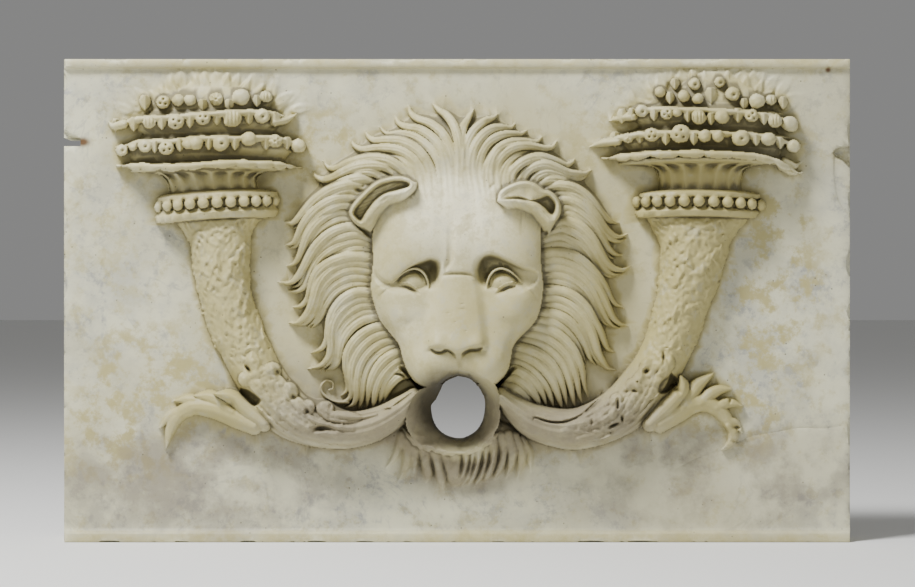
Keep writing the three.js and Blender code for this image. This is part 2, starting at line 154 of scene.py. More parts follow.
class Relief:
    """Heights on a regular grid over the panel, built up and cut back one carved form at a time"""

    def __init__(self, left, right, top, bottom, step, seed):
        self.columns = round((right - left) / step) + 1
        self.rows = round((bottom - top) / step) + 1
        self.left, self.top = left, top
        self.step_x = (right - left) / (self.columns - 1)
        self.step_y = (bottom - top) / (self.rows - 1)
        xs = left + self.step_x * np.arange(self.columns)
        ys = top + self.step_y * np.arange(self.rows)
        self.x, self.y = np.meshgrid(xs, ys)
        self.height = np.zeros_like(self.x)
        self.random = np.random.default_rng(seed)

    def window(self, x0, x1, y0, y1):
        """The part of the grid between two corners, as a pair of slices"""
        i0 = int(max((y0 - self.top) / self.step_y, 0))
        i1 = int(min((y1 - self.top) / self.step_y + 2, self.rows))
        j0 = int(max((x0 - self.left) / self.step_x, 0))
        j1 = int(min((x1 - self.left) / self.step_x + 2, self.columns))
        return slice(i0, i1), slice(j0, j1)

    def along(self, points, reach, steps=24):
        """For the grid near a curve: its window, the distance and side from the curve, and the share of the
        way along it, with the curve's further values read off there"""
        path = smooth_path(points, steps)
        spot = self.window(path[:, 0].min() - reach, path[:, 0].max() + reach,
                           path[:, 1].min() - reach, path[:, 1].max() + reach)
        x, y = self.x[spot], self.y[spot]
        best = np.full(x.shape, FAR_OFF)
        away = np.zeros(x.shape)
        share = np.zeros(x.shape)
        values = [np.zeros(x.shape) for _ in range(path.shape[1] - 2)]
        for k in range(steps - 1):
            (x0, y0), (x1, y1) = path[k, :2], path[k + 1, :2]
            dx, dy = x1 - x0, y1 - y0
            length = max(dx * dx + dy * dy, TINY)
            t = np.clip(((x - x0) * dx + (y - y0) * dy) / length, 0, 1)
            rx, ry = x - x0 - t * dx, y - y0 - t * dy
            far = rx * rx + ry * ry
            near = far < best
            best[near] = far[near]
            away[near] = (np.sign(rx * dy - ry * dx) * np.sqrt(far))[near]
            share[near] = ((k + t) / (steps - 1))[near]
            for value, p0, p1 in zip(values, path[k, 2:], path[k + 1, 2:]):
                value[near] = (p0 + (p1 - p0) * t)[near]
        return spot, away, share, values

    def raise_to(self, spot, height, blend=0.0):
        """Adds a form to the carving where it stands higher"""
        here = self.height[spot]
        self.height[spot] = smooth_max(here, height, blend) if blend else np.maximum(here, height)

    def ridge(self, points, blend=0.0, power=0.5, steps=24, wall=1.6):
        """A ridge along points of (x, y, half width, height), round in section, with a wall at its foot"""
        widest = max(p[2] for p in points)
        spot, away, _, (half, height) = self.along(points, widest + 3, steps)
        inside = 1 - (away / np.maximum(half, THINNEST)) ** 2
        section = np.clip(inside, 0, 1) ** power
        raised = height * section * ease(half - np.abs(away), 0, wall) if wall else height * section
        self.raise_to(spot, np.where(inside > 0, raised, NOWHERE), blend)

    def lay(self, points, lift, power=0.5, steps=16):
        """A low strand laid on whatever is there: points of (x, y, half width), lift its thickness"""
        widest = max(p[2] for p in points)
        spot, away, _, (half,) = self.along(points, widest + 2, steps)
        section = np.clip(1 - (away / np.maximum(half, THINNEST)) ** 2, 0, 1) ** power
        self.height[spot] += lift * section

    def groove(self, points, power=1.0, steps=20):
        """A groove cut along points of (x, y, half width, depth)"""
        widest = max(p[2] for p in points)
        spot, away, _, (half, depth) = self.along(points, widest + 2, steps)
        section = np.clip(1 - (away / np.maximum(half, THINNEST)) ** 2, 0, 1) ** power
        self.height[spot] -= depth * section

    def mound(self, x, y, across, along, foot, rise, turn=0.0, blend=0.0):
        """A domed oval that stands on a foot, or runs out round it where it is blended"""
        reach = max(across, along) * 1.5 + 2
        spot = self.window(x - reach, x + reach, y - reach, y + reach)
        shape = dome(self.x[spot] - x, self.y[spot] - y, across, along, turn)
        outside = foot * (1 + 4 * shape) + rise * shape if blend else NOWHERE
        self.raise_to(spot, np.where(shape > 0, foot + rise * shape, outside), blend)

    def pit(self, x, y, across, along, depth, turn=0.0):
        """A soft oval hollow"""
        reach = max(across, along) * 2.6
        spot = self.window(x - reach, x + reach, y - reach, y + reach)
        c, s = math.cos(math.radians(turn)), math.sin(math.radians(turn))
        u = ((self.x[spot] - x) * c - (self.y[spot] - y) * s) / across
        v = ((self.x[spot] - x) * s + (self.y[spot] - y) * c) / along
        self.height[spot] -= depth * np.exp(-(u * u + v * v))

    def noise(self, size, seed, spot=...):
        """Smooth random values from -1 to 1 over the grid or a window of it, size squares to a bump"""
        rows = int(self.rows * self.step_y / size) + 3
        columns = int(self.columns * self.step_x / size) + 3
        knots = np.random.default_rng(seed).uniform(-1, 1, (rows, columns))
        u = (self.y[spot] - self.top) / size
        v = (self.x[spot] - self.left) / size
        i, j = u.astype(int), v.astype(int)
        fu, fv = ease(u - i, 0, 1), ease(v - j, 0, 1)
        top = knots[i, j] * (1 - fv) + knots[i, j + 1] * fv
        low = knots[i + 1, j] * (1 - fv) + knots[i + 1, j + 1] * fv
        return top * (1 - fu) + low * fu

    def within(self, outline):
        """Distance inside a closed outline, and below 0 outside it"""
        path = smooth_path([*outline, outline[0]], 8 * len(outline))
        best = np.full(self.x.shape, FAR_OFF)
        odd = np.zeros(self.x.shape, dtype=bool)
        spot = self.window(path[:, 0].min() - 30, path[:, 0].max() + 30,
                           path[:, 1].min() - 30, path[:, 1].max() + 30)
        x, y = self.x[spot], self.y[spot]
        near, inside = best[spot], odd[spot]
        for (x0, y0), (x1, y1) in zip(path[:-1], path[1:]):
            dx, dy = x1 - x0, y1 - y0
            t = np.clip(((x - x0) * dx + (y - y0) * dy) / max(dx * dx + dy * dy, TINY), 0, 1)
            np.minimum(near, (x - x0 - t * dx) ** 2 + (y - y0 - t * dy) ** 2, out=near)
            if y0 != y1:
                crossing = (y0 > y) != (y1 > y)
                inside ^= crossing & (x < x0 + (y - y0) * dx / dy)
        best[spot], odd[spot] = near, inside
        return np.where(odd, 1, -1) * np.sqrt(np.minimum(best, 1e6))


def lofted(relief, centre, columns, rows):
    """A smooth surface through cross-sections: for each y, heights at distances to either side of centre"""
    places = sorted(rows)
    side = np.abs(relief.x[0] - centre)
    sections = np.array([np.interp(side, columns, rows[y]) for y in places])
    k = np.clip(np.searchsorted(places, relief.y[:, 0]) - 1, 0, len(places) - 2)
    low, high = np.array(places)[k], np.array(places)[k + 1]
    f = np.clip((relief.y[:, 0] - low) / (high - low), 0, 1)[:, None]
    return softened(sections[k] * (1 - f) + sections[k + 1] * f, 5)


# The locks of the mane, each a few strands side by side, from the face out to their tips. The first strand
# of a lock lies highest
MANE_LEFT = [
    [[(460, 182), (460, 158), (458, 140), (454, 126), (447, 116), (439, 110), (432, 103)],
     [(455, 186), (454, 164), (450, 147), (442, 133), (431, 124), (418, 119), (411, 113), (409, 105)]],
    [[(449, 190), (447, 166), (442, 150), (433, 138), (420, 129.5), (407, 127), (399, 123), (395, 116)],
     [(443, 192), (441, 170), (436, 156), (427, 145), (415, 137), (401, 133.5), (388, 134), (379, 127)]],
    [[(434, 194), (431, 171), (424, 157), (414, 147), (401, 141), (388, 140), (376, 140.5), (369, 137),
      (365, 130)],
     [(427, 196), (423, 176), (416, 162), (406, 153), (393, 148.5), (378, 148), (364, 149.5), (355, 146),
      (351, 139)],
     [(421, 194), (415, 174), (407, 163), (397, 156), (384, 153), (370, 153), (358, 154)]],
    [[(413, 190), (407, 175), (398, 166), (386, 159.5), (372, 158), (358, 160), (346, 164), (336, 168.5),
      (329, 167.5), (323, 161)],
     [(404, 186), (395, 172), (383, 166), (369, 165), (355, 167), (343, 172), (333, 177.5), (324, 179.5),
      (317, 177), (313, 172)],
     [(388, 182), (376, 173), (364, 171), (352, 173.5), (341, 179), (332, 183), (322, 184)]],
    [[(376, 184), (364, 178.5), (351, 179.5), (341, 183), (333, 187), (326, 187.5), (320, 183)]],
    [[(370, 190), (355, 184), (340, 186), (326, 192), (314, 201), (305, 211), (298, 219), (292, 223),
      (285, 222)],
     [(366, 196), (351, 190), (338, 192), (325, 198), (314, 207), (305, 218), (299, 226), (292, 229)]],
    [[(362, 200), (347, 197), (334, 199), (322, 205), (311, 214), (303, 225), (298, 236), (293, 243),
      (285, 245)],
     [(356, 208), (343, 204), (330, 208), (319, 215), (310, 225), (303, 237), (297, 245), (290, 248)],
     [(356, 216), (341, 211.5), (328, 215), (318, 222), (309, 233), (304, 245), (300, 256), (295, 263),
      (287, 266)],
     [(360, 224), (344, 219), (332, 222), (321, 229), (312, 239), (306, 250), (302, 261), (297, 268)]],
    [[(368, 232), (352, 227), (338, 229.5), (326, 236), (316, 246), (309, 257), (303, 269), (297, 278),
      (289, 283), (278, 282)],
     [(374, 239), (356, 234.5), (342, 236.5), (330, 242), (319, 251), (311, 262), (306, 274), (300, 284),
      (291, 288)],
     [(376, 246), (359, 241.5), (345, 243.5), (333, 248), (322, 256), (314, 267), (309, 279), (304, 287),
      (297, 291), (288, 291)],
     [(377, 252), (360, 248.5), (346, 250.5), (334, 256), (323, 263), (316, 272), (311, 282), (306, 289)]],
    [[(378, 259), (354, 256), (338, 259), (324, 266), (315, 276), (311, 289), (308, 299), (301, 306),
      (293, 307)],
     [(378, 266), (354, 262.5), (338, 265.5), (326, 273), (318, 284), (314, 297), (310, 309), (304, 318),
      (297, 323), (289, 323)],
     [(379, 273), (355, 269.5), (340, 272.5), (328, 280), (320, 291), (316, 304), (312, 315), (305, 323),
      (296, 325)],
     [(379, 280), (356, 277), (342, 280), (331, 287.5), (323, 298), (319, 310), (315, 320), (307, 327)],
     [(378, 286), (357, 284), (344, 287), (334, 294), (327, 304), (322, 314), (317, 322), (311, 328)]],
    [[(378, 294), (359, 292), (346, 297), (337, 306), (331, 318), (329, 330), (327, 341), (321, 349),
      (311, 353)],
     [(379, 300), (360, 299), (348, 304), (339, 312), (333, 323), (331, 335), (331, 347), (328, 358),
      (320, 366), (308, 369)],
     [(382, 306), (363, 305.5), (351, 310.5), (342, 318.5), (336, 329), (334, 341), (333, 353), (329, 363),
      (320, 370)],
     [(384, 312), (366, 312), (354, 317), (345, 325), (339, 335), (337, 347), (336, 357), (332, 366),
      (325, 371)]],
    [[(388, 318), (370, 318.5), (358, 323), (349, 331), (343, 341), (341, 351), (339, 360), (334, 367),
      (329, 370)]],
    [[(391, 325), (374, 328), (362, 334), (353, 343), (347.5, 354), (346.5, 366), (348, 378), (348, 389),
      (341, 396)],
     [(396, 331), (379, 334.5), (367, 341), (358, 351), (352.5, 363), (351, 376), (352, 388), (349, 399),
      (334, 405)],
     [(402, 338), (384, 341.5), (372, 348), (363, 358), (358, 370), (356.5, 383), (356.5, 395), (353, 404),
      (344, 408)],
     [(406, 345), (389, 348.5), (378, 355), (369, 365), (364, 378), (362, 391), (361, 401), (359, 409)]],
    [[(408, 351), (394, 354), (383, 361), (375, 372), (370, 385), (368, 397), (367, 408)],
     [(410, 357), (398, 360.5), (388, 367.5), (380, 378), (375.5, 390), (374, 402), (373, 409)],
     [(410, 364), (400, 367), (391, 374), (384.5, 384), (381, 396), (379, 407)]],
    [[(408, 373), (399, 376), (391, 383), (386.5, 392), (384, 404)]],
]
MANE_RIGHT = [
    [[(464, 182), (462, 157), (461, 140), (463, 128), (468, 119), (474, 109)],
     [(468, 186), (465, 163), (467, 145), (474, 131), (484, 122), (492, 118.5), (498, 114)]],
    [[(474, 188), (471, 166), (474, 149), (482, 136), (492, 129), (502, 128), (510, 128), (515, 124)],
     [(481, 190), (478, 170), (481, 154), (489, 142), (501, 135.5), (513, 134.5), (521, 134), (527, 130)],
     [(487, 192), (485, 175), (488, 161), (495, 149), (506, 141.5), (516, 138.5), (523, 137)]],
    [[(491, 192), (489, 172), (493, 157), (501, 147), (513, 142), (526, 142), (536, 142), (542, 137)],
     [(497, 192), (495, 175), (498, 162), (506, 152), (517, 146.5), (530, 146), (543, 148.5), (552, 147),
      (557, 141)],
     [(503, 192), (502, 177), (507, 164), (516, 156), (528, 152.5), (540, 153), (550, 151.5)]],
    [[(511, 190), (511, 175), (519, 165), (531, 158.5), (543, 157.5), (555, 161.5), (565, 165.5),
      (571, 163), (575, 159)],
     [(522, 188), (524, 175), (534, 167), (546, 164.5), (557, 168), (567, 172.5), (577, 174), (585, 173.5),
      (591, 170)],
     [(532, 188), (537, 177), (547, 172.5), (558, 174.5), (569, 178), (580, 178.5), (588, 175)]],
    [[(538, 190), (546, 181), (556, 179.5), (567, 182), (576, 183.5), (584, 181)]],
    [[(541, 194), (552, 186.5), (563, 185.5), (574, 188), (584, 194), (593, 203), (600, 212), (607, 219),
      (613, 222), (619, 223)],
     [(548, 200), (559, 192.5), (570, 194), (580, 199), (589, 207), (597, 217), (604, 227), (611, 234),
      (619, 237), (627, 234)]],
    [[(552, 207), (564, 199.5), (575, 202), (585, 208.5), (594, 218), (601, 229), (608, 237), (617, 241),
      (626, 239)],
     [(554, 213), (566, 206.5), (577, 210), (587, 217), (596, 227), (602, 238), (608, 248), (615, 254),
      (623, 255)],
     [(554, 220), (567, 213.5), (578, 217.5), (588, 225), (596, 236), (602, 247), (608, 256), (615, 259)]],
    [[(548, 227), (563, 221), (575, 223.5), (586, 231), (594, 241), (600, 252), (606, 262), (613, 268),
      (622, 270), (631, 266)],
     [(543, 234), (561, 228), (573, 231), (584, 238.5), (592, 249), (599, 260), (605, 269), (613, 274),
      (623, 274)],
     [(538, 241), (559, 236), (571, 239), (582, 246), (591, 256), (598, 267), (606, 275), (615, 277)],
     [(536, 248), (558, 243.5), (570, 246.5), (581, 253), (590, 263), (597, 273), (603, 280)]],
    [[(536, 254), (557, 252), (570, 254), (581, 260), (590, 268), (598, 277), (604, 286), (609, 296),
      (615, 304), (624, 308)],
     [(536, 261), (556, 259.5), (569, 262), (580, 268), (589, 276), (597, 286), (603, 297), (608, 308),
      (613, 318), (620, 324), (628, 326)],
     [(536, 268), (556, 267), (569, 270), (580, 276), (589, 285), (596, 296), (601, 308), (606, 318),
      (612, 325), (620, 328)],
     [(536, 275), (556, 274.5), (568, 277.5), (579, 284), (588, 293), (594, 304), (599, 315), (605, 323),
      (611, 327)],
     [(536, 282), (556, 282), (568, 285), (578, 291), (586, 300), (592, 311), (597, 321), (603, 328)]],
    [[(536, 289), (556, 290), (568, 293), (579, 300), (588, 310), (594, 321), (600, 332), (604, 342),
      (608, 349), (615, 352)],
     [(536, 297), (556, 298), (567, 301.5), (577, 309), (585, 319), (591, 330), (595, 342), (598, 353),
      (603, 362), (608, 368), (616, 370)],
     [(535, 304), (554, 305.5), (566, 309.5), (576, 317), (583, 327), (588, 338), (592, 349), (596, 359),
      (603, 367)]],
    [[(534, 311), (553, 313.5), (565, 318.5), (574, 326), (581, 336), (586, 347), (590, 358), (596, 365)],
     [(530, 318), (549, 321), (561, 326), (570, 334), (577, 344), (582, 354), (586, 364)]],
    [[(524, 325), (543, 328), (556, 333), (566, 341), (574, 351), (579, 362), (582, 373), (584, 385),
      (588, 398)],
     [(519, 332), (537, 334.5), (550, 339.5), (561, 348), (569, 358), (574, 370), (577, 382), (579, 394),
      (583, 405)],
     [(512, 338), (530, 341), (544, 346), (555, 354), (563, 364), (568, 376), (571, 388), (573, 399),
      (575, 407)]],
    [[(506, 345), (524, 348), (538, 353), (549, 361), (557, 372), (562, 384), (565, 396), (567, 407)],
     [(504, 352), (521, 355), (533, 360), (544, 369), (552, 380), (557, 392), (560, 402), (562, 409)],
     [(504, 360), (519, 362.5), (530, 368), (539, 376), (547, 387), (551, 398), (554, 409)]],
    [[(506, 368), (518, 370.5), (528, 376), (537, 385), (543, 395), (547, 409)],
     [(506, 377), (517, 379), (526, 385), (533, 393), (538, 402), (540, 410)],
     [(506, 386), (515, 388.5), (523, 394), (529, 402), (532, 411)]],
]
# The locks of the beard: spine, half width, and height at its top
BEARD = [
    ([
        (402, 434), (399, 446), (394, 458),
        (386, 468)], 4.5, 9), ([(408, 440), (408, 455), (405, 468), (398, 482)], 5, 13),
    ([(414, 444), (415, 458), (414, 472)], 5, 12), ([
        (423, 446), (427, 461), (428, 473), (426, 482)], 6, 22),
    ([
        (433, 448), (438, 463), (441, 477),
        (444, 492)], 6, 25), ([(444, 450), (447, 464), (449, 474), (452, 484)], 6.5, 23),
    ([
        (455, 452), (457, 466), (458, 476),
        (457, 485)], 6, 25), ([(466, 450), (465, 464), (461, 476), (458, 486)], 4.4, 29),
    ([
        (472, 450), (471, 464), (467, 476),
        (461, 488)], 4.2, 26), ([(479, 448), (477, 463), (473, 475), (468, 485)], 4.8, 30),
    ([
        (486, 445), (485, 461), (481, 474),
        (475, 486)], 4.6, 26), ([(493, 441), (493, 458), (489, 471), (484, 482)], 5.2, 29),
    ([
        (501, 436), (502, 452), (500, 466),
        (494, 480)], 5.2, 23), ([(508, 434), (512, 450), (511, 464), (506, 478)], 5, 20),
    ([
        (515, 436), (521, 450), (521, 464),
        (517, 480)], 5, 15), ([(522, 438), (529, 451), (530, 463), (531, 472)], 4, 10),
]


def bearing_of(x, y):
    """Degrees from straight up, out to either side of the root of the nose"""
    return math.degrees(math.atan2(abs(x - NOSE_ROOT[0]), NOSE_ROOT[1] - y))


STRAND_HALF = 5.6


def carve_strand(relief, spine, half, root, tip, rounding=5.6, sunk=8):
    """A strand of hair: it comes up out of the face, keeps its height most of the way and thins out"""
    path = smooth_path(spine, 30)
    t = np.linspace(0, 1, len(path))
    width = half * (1 - 0.9 * t**4)
    height = root + (tip - root) * t**2.3 - sunk * (1 - ease(t, 0, 0.3))
    spot, away, share, (width, height) = relief.along(np.column_stack([path, width, height]), half + 2, 40)
    across = np.abs(away) / np.maximum(width, 0.4)
    # A groove down the middle, and a fine one to either side of it
    split = 1.5 * bell((away + 0.2) / 1.0) + 1.1 * bell((np.abs(away) - 2.9) / 0.8)
    split *= ease(share, 0.1, 0.3) * (1 - ease(share, 0.7, 0.9))
    raised = (height - rounding * across**2 - split) * ease(width - np.abs(away), -0.6, 1.0)
    relief.raise_to(spot, np.where(across < 1.2, raised, NOWHERE))


# The small curl beside the left tail: x, y, half width, height
VOLUTE = [
    (348, 402, 3, 16), (338, 402, 2.6, 12), (329, 399, 2.3, 9), (322.5, 393, 2.2, 8),
    (321.5, 385.5, 2.1, 8), (326.5, 380.5, 2, 7.5), (332.5, 382.5, 1.9, 7.5), (333, 388.5, 1.7, 7),
    (328.5, 390, 1.2, 6),
]


def carve_mane(relief):
    """Strand by strand, lower the further out it lies round the face"""
    for locks in (MANE_LEFT, MANE_RIGHT):
        for lock in locks:
            for k, spine in enumerate(lock):
                bearing = bearing_of(*spine[-1])
                root = float(np.interp(bearing, [0, 30, 60, 90, 125, 150], [77, 74, 66, 58, 52, 46]))
                fall = -2.1 * k if len(lock) > 1 else -5
                tip = float(np.interp(bearing, [20, 60], [3.5, 7.5]))
                carve_strand(relief, spine, STRAND_HALF, root + fall, tip)
    relief.ridge(VOLUTE, power=0.6, steps=40)
    # No drill went deep between the strands
    spot = relief.window(275, 645, 98, 412)
    here = relief.height[spot]
    mean, broad = softened(here, 3), softened(here, 7)
    fill = np.maximum(mean - 5 - 40 * (1 - ease(mean, 16, 30)), broad - 14)
    relief.height[spot] = np.maximum(here, fill)
    # The hair over the forehead is worn almost smooth
    worn = np.exp(-((relief.x - 458) / 48) ** 4 - ((relief.y - 188) / 44) ** 4)
    relief.height += (softened(relief.height, 4) - relief.height) * 0.55 * worn


# Grooves between the beard's locks: x, y, half width, depth
BEARD_GROOVES = (
    [(430, 452, 1.6, 0), (433, 466, 2.2, 8), (437, 480, 1.6, 0)],
    [(440, 454, 1.4, 0), (444, 468, 2, 6), (449, 482, 1.4, 0)],
    [(463, 453, 1.6, 0), (462, 466, 2.4, 10), (459, 480, 1.5, 0)],
    [(470, 452, 1.5, 0), (469, 465, 2.2, 10), (464, 480, 1.5, 0)],
    [(476, 451, 1.5, 0), (474, 465, 2.3, 11), (469, 481, 1.5, 0)],
    [(483, 448, 1.5, 0), (481, 464, 2.4, 11), (475, 482, 1.5, 0)],
    [(490, 446, 1.5, 0), (489, 461, 2.2, 10), (483, 478, 1.5, 0)],
    [(498, 441, 1.5, 0), (498, 457, 2.4, 9), (492, 474, 1.5, 0)],
    [(418, 446, 1.5, 0), (421, 460, 2.2, 5), (421, 474, 1.5, 0)],
)


def carve_beard(relief):
    """Worn locks under the basin, with the grooves between them"""
    for spine, half, root in BEARD:
        carve_strand(relief, spine, half, root, 4, 5, 0)
    # The stone under the basin that the locks grow out of
    relief.mound(460, 440, 62, 26, 0, 26, blend=5)
    relief.mound(456, 466, 13, 20, 0, 21, blend=4)
    for points in BEARD_GROOVES:
        relief.groove([(px, py, wide * 1.3, deep * 1.05) for px, py, wide, deep in points], power=1.4)
    spot = relief.window(375, 545, 425, 500)
    here = relief.height[spot]
    worn = blurred(here, 1) - here + 0.9 * relief.noise(3.5, 81, spot) * ease(here, 3, 12)
    relief.height[spot] += worn * ease(relief.y[spot], 441, 449)


# The head
FACE_OUTLINE = [
    (372, 238), (373, 262), (371, 288), (374, 304), (380, 320), (390, 333), (399, 345), (403, 360),
    (409, 374), (418, 384), (430, 388), (440, 384), (448, 378), (459, 375), (470, 378), (480, 384),
    (490, 387), (500, 381), (508, 370), (511, 358), (514, 345), (526, 332), (536, 320), (541, 305),
    (543, 285), (541, 262), (541, 238), (541, 222), (545, 192), (522, 156), (488, 143), (458, 141),
    (428, 143), (394, 156), (371, 192), (374, 222),
]
# Cross-sections of the face without its nose: heights at distances from its middle line
FACE_COLUMNS = (0, 15, 30, 42, 54, 66, 76, 86)
FACE_SECTIONS = {
    150: (42, 42, 42, 42, 40, 38, 34, 30),
    170: (61, 61, 61, 60, 57, 53, 47, 40),
    188: (74, 74, 74, 73, 70, 65, 59, 51),
    206: (81, 81, 81, 80, 77, 73, 66, 58),
    226: (85.5, 86, 86.5, 86, 83, 78, 70, 61),
    245: (86, 87, 89, 90, 88, 83, 74, 62),
    260: (84, 85, 88, 91, 90, 86, 77, 63),
    272: (81, 81, 83, 86, 87, 85, 77, 63),
    284: (80, 78, 76, 78, 80, 80, 75, 62),
    300: (83, 81, 79, 83, 86, 83, 75, 60),
    316: (87, 85, 83, 86, 87, 80, 68, 52),
    332: (92, 90, 87, 87, 82, 69, 55, 40),
    346: (95, 94, 92, 88, 76, 58, 44, 34),
    358: (95, 96, 98, 93, 76, 52, 38, 32),
    370: (90, 94, 98, 91, 70, 46, 36, 30),
    382: (82, 86, 89, 81, 58, 42, 34, 30),
    394: (66, 70, 72, 64, 48, 36, 30, 28),
}
SOCKET_LEFT = [
    (375, 268), (378.5, 274.5), (384, 279.5), (391, 281), (397, 276), (404, 270), (412, 265), (420, 260.5),
    (428, 257.5), (435, 257.5), (440, 261), (442, 269), (441, 281), (437, 291), (429, 299), (418, 303),
    (405, 300), (394, 293), (383, 288), (376, 282), (373, 275),
]
SOCKET_RIGHT = [
    (539, 272), (533, 269), (525, 267), (515, 262.5), (506, 258), (498, 254.5), (489, 253), (481, 255.5),
    (475.5, 261), (473, 270), (474, 281), (479, 291), (487, 299), (498, 303), (511, 300), (522, 293),
    (531, 288), (538, 282),
]


# Lids and lines of the face, most of them measured on its left: x, y, half width, height or depth
UPPER_LID = [
    (391, 285, 1, 66), (394.5, 281.5, 2, 75.5), (400, 275.5, 2.4, 81), (407, 270.5, 2.8, 83),
    (415, 268.5, 3, 83.5), (422, 271.5, 3, 82.5), (426.5, 278, 2.8, 80.5), (428.5, 286, 2.6, 78),
    (427, 293, 1.0, 72),
]
LID_GROOVE = [
    (396.5, 283, 1.2, 0), (401, 277.8, 1.5, 3), (408, 273.8, 1.6, 3.4), (416, 273, 1.6, 3.4),
    (421.5, 277, 1.5, 3), (424, 284, 1.2, 0),
]
LOWER_LID = [
    (397, 283.5, 1.0, 73), (402, 282, 1.9, 79), (409, 283.4, 2.2, 80.5), (416, 287.5, 2.0, 79.5),
    (421, 292, 1.0, 74),
]
EYE_FOLD = [(398, 286.5, 1.6, 0), (406, 287, 2.4, 5), (413, 290.5, 2.4, 6), (421, 295, 1.6, 0)]
CHEEK_CREASE = [(375, 305, 1.6, 0), (379, 297, 1.9, 1.6), (386, 290.5, 1.9, 2), (394, 286, 1.5, 0)]
OUTER_CREASE = [(373, 291, 1.6, 0), (380, 287, 2.0, 1.4), (389, 284.5, 1.6, 0)]
MOUTH_CORNER = [
    (399, 366.5, 2, 0), (404, 370, 2.6, 13), (411, 377.5, 2.9, 18), (418, 385, 2.4, 12), (425, 390, 2, 0),
]
LIP_END = [(393, 373.5, 1.4, 0), (400, 374.5, 1.9, 8), (406, 378, 1.8, 8), (411, 382, 1.5, 0)]
LEFT_NOSTRIL = [
    (428, 345.5, 1.5, 0), (431.5, 349.5, 1.9, 4), (436, 352.5, 2.1, 6), (442, 352.5, 2.1, 6),
    (447, 350, 2.2, 6), (452, 353, 2, 4.5), (457, 358.5, 1.6, 0),
]
RIGHT_NOSTRIL = [
    (461, 359, 1.6, 0), (464, 353.5, 2.2, 5), (470, 350.5, 2.2, 6.5), (478, 350, 2.1, 5.5),
    (483, 346, 1.8, 3), (485, 341, 1.4, 0),
]
LIP_GROOVE = [(459, 353, 2.0, 0), (459.3, 360, 3.2, 3), (460.5, 367, 3.0, 3.4), (461, 375, 1.6, 0)]
NOSE_CREASE = [
    (440, 276.5, 1.6, 0), (448, 274, 2.2, 3.6), (459, 273.3, 2.4, 4), (469, 274.3, 2.2, 3.6),
    (478, 277.5, 1.6, 0),
]
BROW_FURROW = [
    (452, 210, 4, 0), (450.5, 235, 5.5, 2.2), (450.5, 254, 5, 4), (448, 264, 4.4, 4), (443, 274, 3, 0),
]


def carve_face(relief):
    """The bare face: its nose, sockets, eyes and lines"""
    x, y = relief.x - FACE_MIDDLE, relief.y
    side_x = np.abs(x)
    inner = relief.within(FACE_OUTLINE)
    h = lofted(relief, FACE_MIDDLE, FACE_COLUMNS, FACE_SECTIONS)
    # The broad flat nose between its soft sides, set off by a step over the muzzle
    half = np.interp(y, [262, 276, 300, 340, 352], [15, 18, 21.5, 26, 26.5])
    lift = np.interp(y, [264, 275, 284, 300, 320, 336, 345, 352], [0, 3, 5.5, 7.5, 9, 10.5, 11.5, 11])
    edge_y = 349.5 + 2.6 * np.cos(side_x / 6.2)
    stop = 1 - ease(y, edge_y - 2.5, edge_y + 2)
    soft = np.where(x < 0, 11.0, 7.0)
    h += (lift - 1.6 * (side_x / half) ** 2) * (1 - ease(side_x, half - 4, half + soft)) * stop
    # The wings of the nose
    h += 3.5 * np.exp(-((side_x - 20) / 7) ** 2 - ((y - 342) / 7) ** 2) * stop
    # Between the brows a flat strip runs down to the crease over the nose
    h += 2.2 * np.exp(-((x - 7) / 12) ** 4) * ease(y, 215, 245) * (1 - ease(y, 268, 274))
    for side, outline in zip(SIDES, (SOCKET_LEFT, SOCKET_RIGHT)):
        inside = relief.within(outline)
        reach = np.interp(side_x, [12, 18, 27, 36, 45, 56, 66, 75, 84], [8, 21, 36, 31, 23, 18, 15, 11, 4])
        fade = np.interp(side_x, [14, 30, 60, 80], [268, 266, 272, 274])
        roll = np.interp(side_x, [18, 30, 50, 70], [8, 6.5, 4.5, 3.5])
        h -= reach * ease(inside / roll, -0.25, 1.0) * (1 - ease(y, fade, fade + 26)) * (side * x > 0)
    # The face turns down to its outline, gently at the temples and steeply under the cheeks
    drop = np.interp(y, [200, 240, 300, 330, 385], [0, 4, 7, 15, 16])
    reach = np.interp(y, [240, 300, 330], [9, 9, 11])
    edge = np.clip(inner / reach, 0, 1)
    h -= drop * (1 - np.sqrt(np.clip(1 - (1 - edge) ** 2, 0, 1)))
    h = blurred(h, 1)
    merged = smooth_max(relief.height, h, np.interp(y, [188, 212], [12, 2.5]))
    relief.height = np.where(inner > 0, merged, relief.height)

    for side in SIDES:
        def here(points):
            return mirrored(points, side, EYES_MIDDLE)

        # The eyeball, its drooping lids and the fold under the eye
        relief.mound(EYES_MIDDLE + side * 44.5, 282, 17.5, 12.5, 52, 28, turn=side * 10, blend=2)
        relief.ridge(here(UPPER_LID), blend=4, power=0.7, steps=30)
        relief.groove(here(LID_GROOVE), steps=30)
        relief.ridge(here(LOWER_LID), blend=2, power=0.6)
        relief.groove(here(EYE_FOLD))
        relief.groove(here(CHEEK_CREASE), power=1.5)
        relief.groove(here(OUTER_CREASE), power=1.5)
        # The hollow under the cheekbone, and the folds behind the corner of the mouth
        relief.pit(EYES_MIDDLE + side * 52, 327, 16, 9, 3.6, turn=side * -28)
        relief.pit(EYES_MIDDLE + side * 47, 322, 5, 3, 1.2, turn=side * -28)
        relief.groove(here(MOUTH_CORNER))
    for line, power in ((LIP_END, 1), (LEFT_NOSTRIL, 1), (RIGHT_NOSTRIL, 1), (LIP_GROOVE, 1.6),
                        (NOSE_CREASE, 1), (BROW_FURROW, 1.8)):
        relief.groove(line, power)
    # Small nicks on the bridge of the nose
    for place in ((462, 304, 2.4), (462.5, 309, 2.6), (455, 322, 1.5), (466, 331, 1.4), (448, 313, 1.3)):
        relief.pit(*place, 0.8, 1.3)


